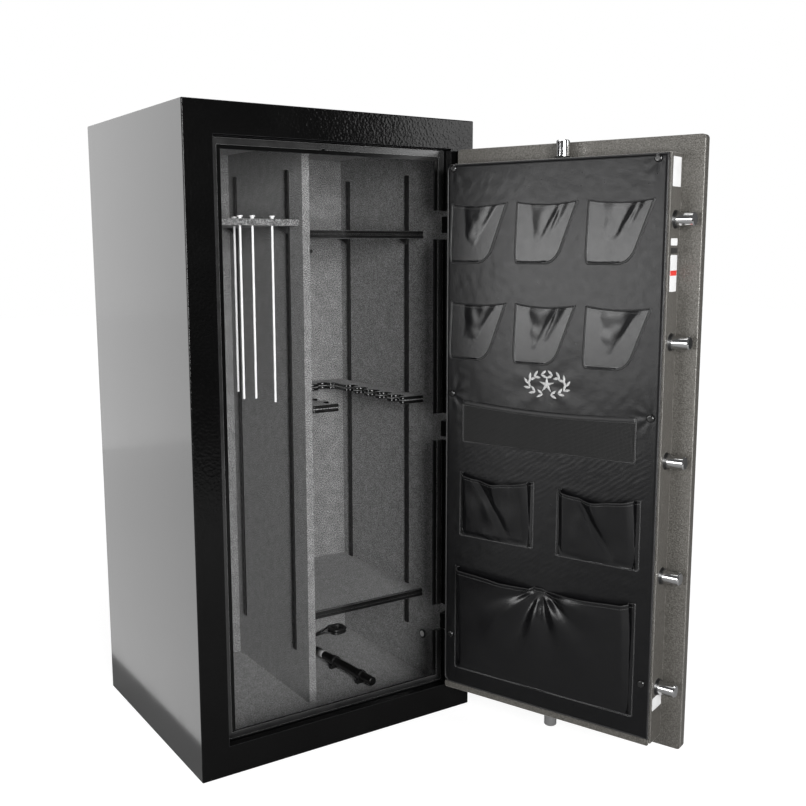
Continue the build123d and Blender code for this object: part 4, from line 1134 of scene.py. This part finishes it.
def coil_points():
    """The coil's turns: each drifts from one lane of the bundle to the next."""
    points = []
    turns = len(COIL_LANES) - 1
    steps = COIL_STEPS * turns - round(COIL_STEPS * (360 - (COIL_END - COIL_START) % 360) / 360)
    for i in range(steps + 1):
        angle = radians(COIL_START + 360 * i / COIL_STEPS)
        lane, share = divmod(i / COIL_STEPS, 1)
        (h0, z0), (h1, z1) = COIL_LANES[int(lane)], COIL_LANES[int(lane) + 1]
        ease = share * share * (3 - 2 * share)
        half = h0 + (h1 - h0) * ease
        c, s = cos(angle), sin(angle)
        reach = half / (abs(c) ** 4 + abs(s) ** 4) ** 0.25
        x, y = COIL_CENTRE[0] + reach * c, COIL_CENTRE[1] + reach * s
        points.append((x, y, z0 + (z1 - z0) * ease))
    return points


def make_cord():
    """The heating rod's cord: a short lead, a hand-wound coil and the plug lead."""
    data = bpy.data.curves.new("heater_cord", "CURVE")
    data.dimensions = "3D"
    data.bevel_depth = CORD_D / 2
    data.bevel_resolution = 4
    data.resolution_u = 6
    data.use_fill_caps = True
    line = [*LEAD_POINTS, *coil_points(), *PLUG_POINTS]
    spline = data.splines.new("NURBS")
    spline.points.add(len(line) - 1)
    for point, place in zip(spline.points, line):
        point.co = (*place, 1)
    spline.order_u = 3
    spline.use_endpoint_u = True
    piece = bpy.data.objects.new("heater_cord", data)
    bpy.context.scene.collection.objects.link(piece)
    finish_piece(piece, "safe_body", "cord", ["cord_lead", "cord_coil", "cord_plug_lead"])


def make_heater_label():
    """A blank white label wrapped over the heating rod."""
    low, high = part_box("heater_rod")
    mid = (low + high) / 2
    axis = Vector((-sin(HEATER_TURN), cos(HEATER_TURN), 0))
    side = axis.cross(Vector((0, 0, 1)))
    radius = (high.z - low.z) / 2
    rows = []
    for reach in LABEL_REACH:
        for lift in (0.0004, 0.0001):
            ring = [
                mid + axis * reach + (side * cos(a) + Vector((0, 0, 1)) * sin(a)) * (radius + lift)
                for a in np.linspace(radians(-20), radians(200), 28)
            ]
            rows.append(ring)
    rows = [rows[0], rows[2], rows[3], rows[1], rows[0]]
    points = [p for row in rows for p in row]
    faces = grid_faces(5, 28)
    faces += [(0, 84, 56, 28), (27, 55, 83, 111)]
    finish_piece(mesh_object("heater_label", points, faces), "safe_body", "paper")


# ------------------------------------------------------------------ dial

DIAL_MARKS = 100
DIAL_STEP_Y = 0.012
MARK_W = 0.00055
MARK_T = 0.00018
NUMBER_SIZE = 0.0052
NUMBER_T = 0.00012
NUMBER_INSET = 0.0102
UPRIGHT = Matrix(((1, 0, 0), (0, 0, -1), (0, 1, 0))).to_4x4()


def mark_length(k):
    """Graduations are longest at tens and longer at fives."""
    if k % 10 == 0:
        return 0.0062
    return 0.0048 if k % 5 == 0 else 0.003


def make_dial_marks():
    """A hundred graduations and ten numbers on the dial, and an index on its ring."""
    low, high = node_solids("dial_knob")[0]
    centre = (low + high) / 2
    radius = (high.x - low.x) / 2
    face = high.y - DIAL_STEP_Y
    parts = []
    for k in range(DIAL_MARKS):
        angle = 2 * pi * k / DIAL_MARKS
        way = Vector((sin(angle), 0, cos(angle)))
        start = Vector((centre.x, face, centre.z)) + way * (radius - 0.0008)
        line = [start, start - way * mark_length(k)]
        parts.append(bead(line, MARK_W, MARK_T, up=-OUT, sides=5))
    marks = door_piece("dial_graduations", *merged(parts), "dial_mark")
    marks.parent = None
    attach(marks, "dial")
    ring_y = node_solids("dial_ring")[0][0].y
    top = Vector((centre.x, ring_y, centre.z + radius + 0.0075))
    line = [top + Vector((0, 0, 0.002)), top - Vector((0, 0, 0.003))]
    door_piece("dial_index", *bead(line, [0.004, 0.0006], 0.0004, up=-OUT), "dial_mark")
    for k in range(10):
        make_dial_number(k, centre, radius - NUMBER_INSET, face - 0.0001)


def make_dial_number(k, centre, reach, y):
    """The number of the tens mark k, standing on the dial's face."""
    text = bpy.data.curves.new(f"dial_number_{k}", "FONT")
    text.body = str(10 * k)
    text.size = NUMBER_SIZE
    text.extrude = NUMBER_T
    text.align_x, text.align_y = "CENTER", "CENTER"
    drawn = bpy.data.objects.new("drawn", text)
    bpy.context.scene.collection.objects.link(drawn)
    graph = bpy.context.evaluated_depsgraph_get()
    mesh = bpy.data.meshes.new_from_object(drawn.evaluated_get(graph))
    bpy.data.objects.remove(drawn)
    angle = 2 * pi * k / 10
    spot = Vector((centre.x + sin(angle) * reach, y, centre.z + cos(angle) * reach))
    turn = Matrix.Rotation(angle, 4, "Y")
    mesh.transform(DOOR @ Matrix.Translation(spot) @ turn @ UPRIGHT)
    number = bpy.data.objects.new(f"dial_number_{k}", mesh)
    bpy.context.scene.collection.objects.link(number)
    finish_piece(number, "dial", "dial_mark")


# ------------------------------------------------------------------ the scene

paint_nodes()
make_camera()
make_cord()
make_studio()
BADGE_BOX = node_solids("badge")[0]
make_panel(BADGE_BOX)
make_pockets()
declare_sheets()
make_badge(BADGE_BOX)
make_labels()
make_wall_button()
make_rest_trims()
make_heater_label()
make_dial_marks()
